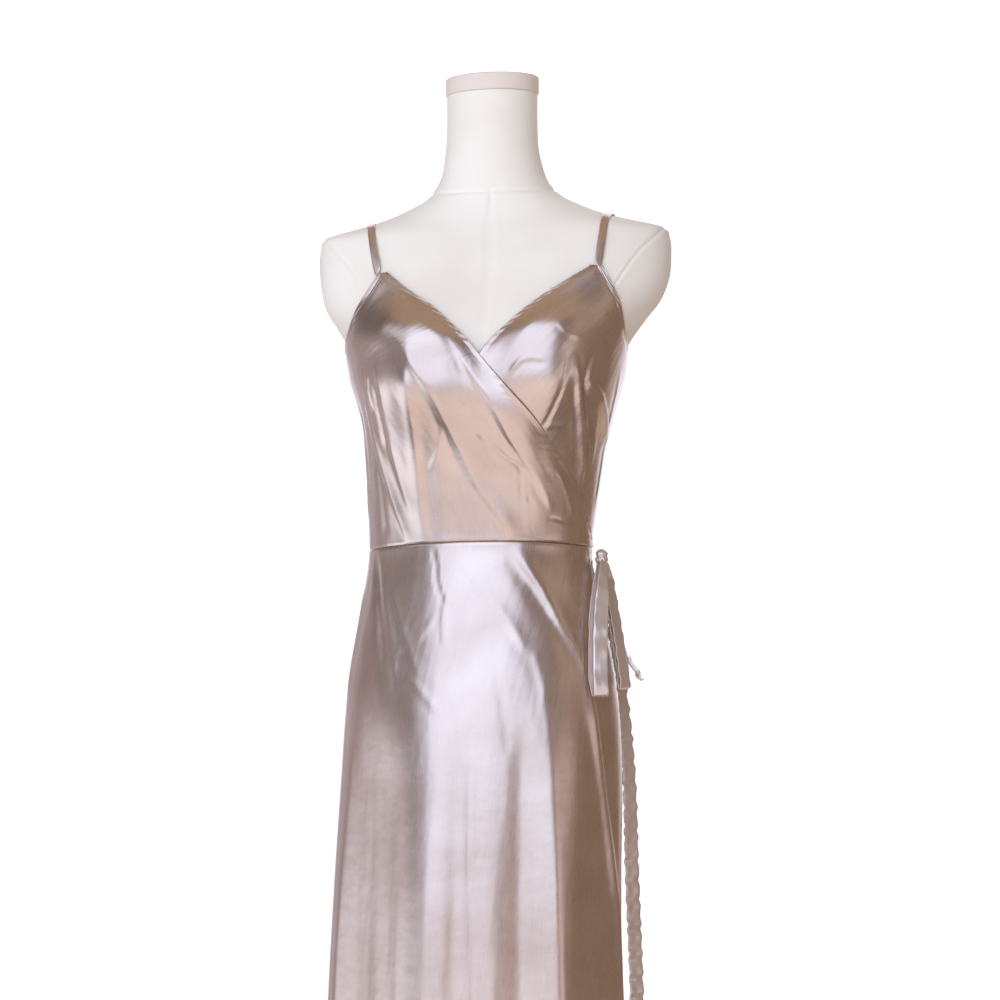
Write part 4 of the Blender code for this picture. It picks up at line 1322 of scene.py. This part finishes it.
torso = show(torso_mesh, "form_torso", "jersey", (cream_jersey,), sharp=SHARP)
print("torso:", len(torso.data.polygons), "faces")

# %% [markdown]
# ## Neck cap
#
# The cap is a disc of pressed card covered in calico, with a soft edge that follows the neck's
# outline. So its ring is taken from the sections and extruded up in small steps.

# %% Neck cap
CAP_HEIGHT = 0.019
CAP_RING = 96

cap_mesh = bmesh.new()
angles = np.linspace(0, 360, CAP_RING, endpoint=False)
neck_ring, _ = skin(FORM, angles, np.full(CAP_RING, NECK_TOP))
ring = [cap_mesh.verts.new(point) for point in neck_ring + (0, 0, GAP)]
loop = [cap_mesh.edges.new((ring[i - 1], ring[i])) for i in range(CAP_RING)]
middle = Vector((FORM[-1][5], 0, 0))
bmesh.ops.edgeloop_fill(cap_mesh, edges=loop)
CAP_STEPS = (
    # rise, growth of the radius
    (0.0006, 0.0010),
    (0.0008, 0.0004),
    (0.0080, 0.0000),
    (0.0070, 0.0000),
    (0.0012, -0.0003),
    (0.0008, -0.0008),
    (0.0004, -0.0014),
    (0.0002, -0.0040),
)
for rise, grow in CAP_STEPS:
    raised = bmesh.ops.extrude_edge_only(cap_mesh, edges=loop)
    moved = [part for part in raised["geom"] if isinstance(part, bmesh.types.BMVert)]
    loop = [part for part in raised["geom"] if isinstance(part, bmesh.types.BMEdge)]
    for vertex in moved:
        flat = Vector((vertex.co.x, vertex.co.y, 0)) - middle
        vertex.co += flat.normalized() * grow + Vector((0, 0, rise))
bmesh.ops.edgeloop_fill(cap_mesh, edges=loop)
bmesh.ops.recalc_face_normals(cap_mesh, faces=cap_mesh.faces)
cap = show(cap_mesh, "form_neck_cap", "calico", (calico,), sharp=SHARP)
print("cap:", len(cap.data.polygons), "faces")

# %% [markdown]
# ## Pole and foot
#
# The pole is a tube and the foot a round plate, both with rounded rims as a lathe or a press
# leaves them. So each is turned: half its outline is drawn once and spun about the axis.

# %% Pole and foot
TURNED_MERGE = 0.00001
RIM_STEPS = 6


def turned(node, word, profile, finishes, slot, steps=96):
    """A round piece on the upright axis from a profile of (radius, height)."""
    lathe = spun(profile, steps, TURNED_MERGE)
    bmesh.ops.recalc_face_normals(lathe, faces=lathe.faces)
    made = show(lathe, node, word, finishes, sharp=SHARP)
    low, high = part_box(node)
    print(made.name, "is", round(high[2] - low[2], 3), "m high")


def rounded(radius, low, high, edge):
    """Profile of a disc or tube whose rims are rounded."""
    turns = [math.pi / 2 * step / RIM_STEPS for step in range(RIM_STEPS + 1)]
    inner = radius - edge
    bottom = [(inner + edge * math.sin(t), low + edge - edge * math.cos(t)) for t in turns]
    top = [(inner + edge * math.cos(t), high - edge + edge * math.sin(t)) for t in turns]
    return [(0.0, low), *bottom, *top, (0.0, high)]


BASE_RADIUS, BASE_HEIGHT, BASE_RIM = 0.170, 0.022, 0.004
POLE_RADIUS, POLE_TOP, POLE_RIM = 0.0125, 0.7797, 0.0008
foot = rounded(BASE_RADIUS, 0.0, BASE_HEIGHT, BASE_RIM)
pole = rounded(POLE_RADIUS, BASE_HEIGHT + GAP, POLE_TOP, POLE_RIM)
turned("stand_base", "coated", foot, (plate,), "stand")
turned("stand_pole", "steel", pole, (steel,), "stand", 48)

# %% [markdown]
# ## What each cloth piece was cut from
#
# Every cloth piece but the knot is listed with its greatest width and length, measured along the
# cloth, folds included, how it is held and what it rests on. The area of its face is printed
# beside that width times that length.

# %% Sheets
def surface(piece):
    """Area of the piece's face before its thickness."""
    return sum(face.area for face in piece.data.polygons)


SHEETS = (
    # piece, width, length, held, rests_on
    (bodice_over, 0.316, 0.410, "stretched", ["form_torso"]),
    (bodice_under, 0.316, 0.429, "stretched", ["form_torso"]),
    (bodice_back, 0.385, 0.207, "stretched", ["form_torso"]),
    (skirt_over, 0.485, 1.015, "hung", ["form_torso"]),
    (skirt_under, 0.336, 1.015, "hung", ["form_torso"]),
    (skirt_back, 0.467, 1.004, "hung", ["form_torso"]),
    (loop_front, 0.017, 0.304, "hung", ["tie_knot"]),
    (loop_back, 0.017, 0.281, "hung", ["tie_knot"]),
    (tail_short, 0.017, 0.143, "hung", ["tie_knot"]),
    (tail_long, 0.018, 0.640, "hung", ["tie_knot"]),
    (strap_right, 0.010, 0.366, "stretched", ["form_torso"]),
    (strap_left, 0.010, 0.374, "stretched", ["form_torso"]),
)
for piece, width, length, held, rests_on in SHEETS:
    print(f"{piece.name}: surface {surface(piece):.4f} m2 of {width * length:.4f} m2")
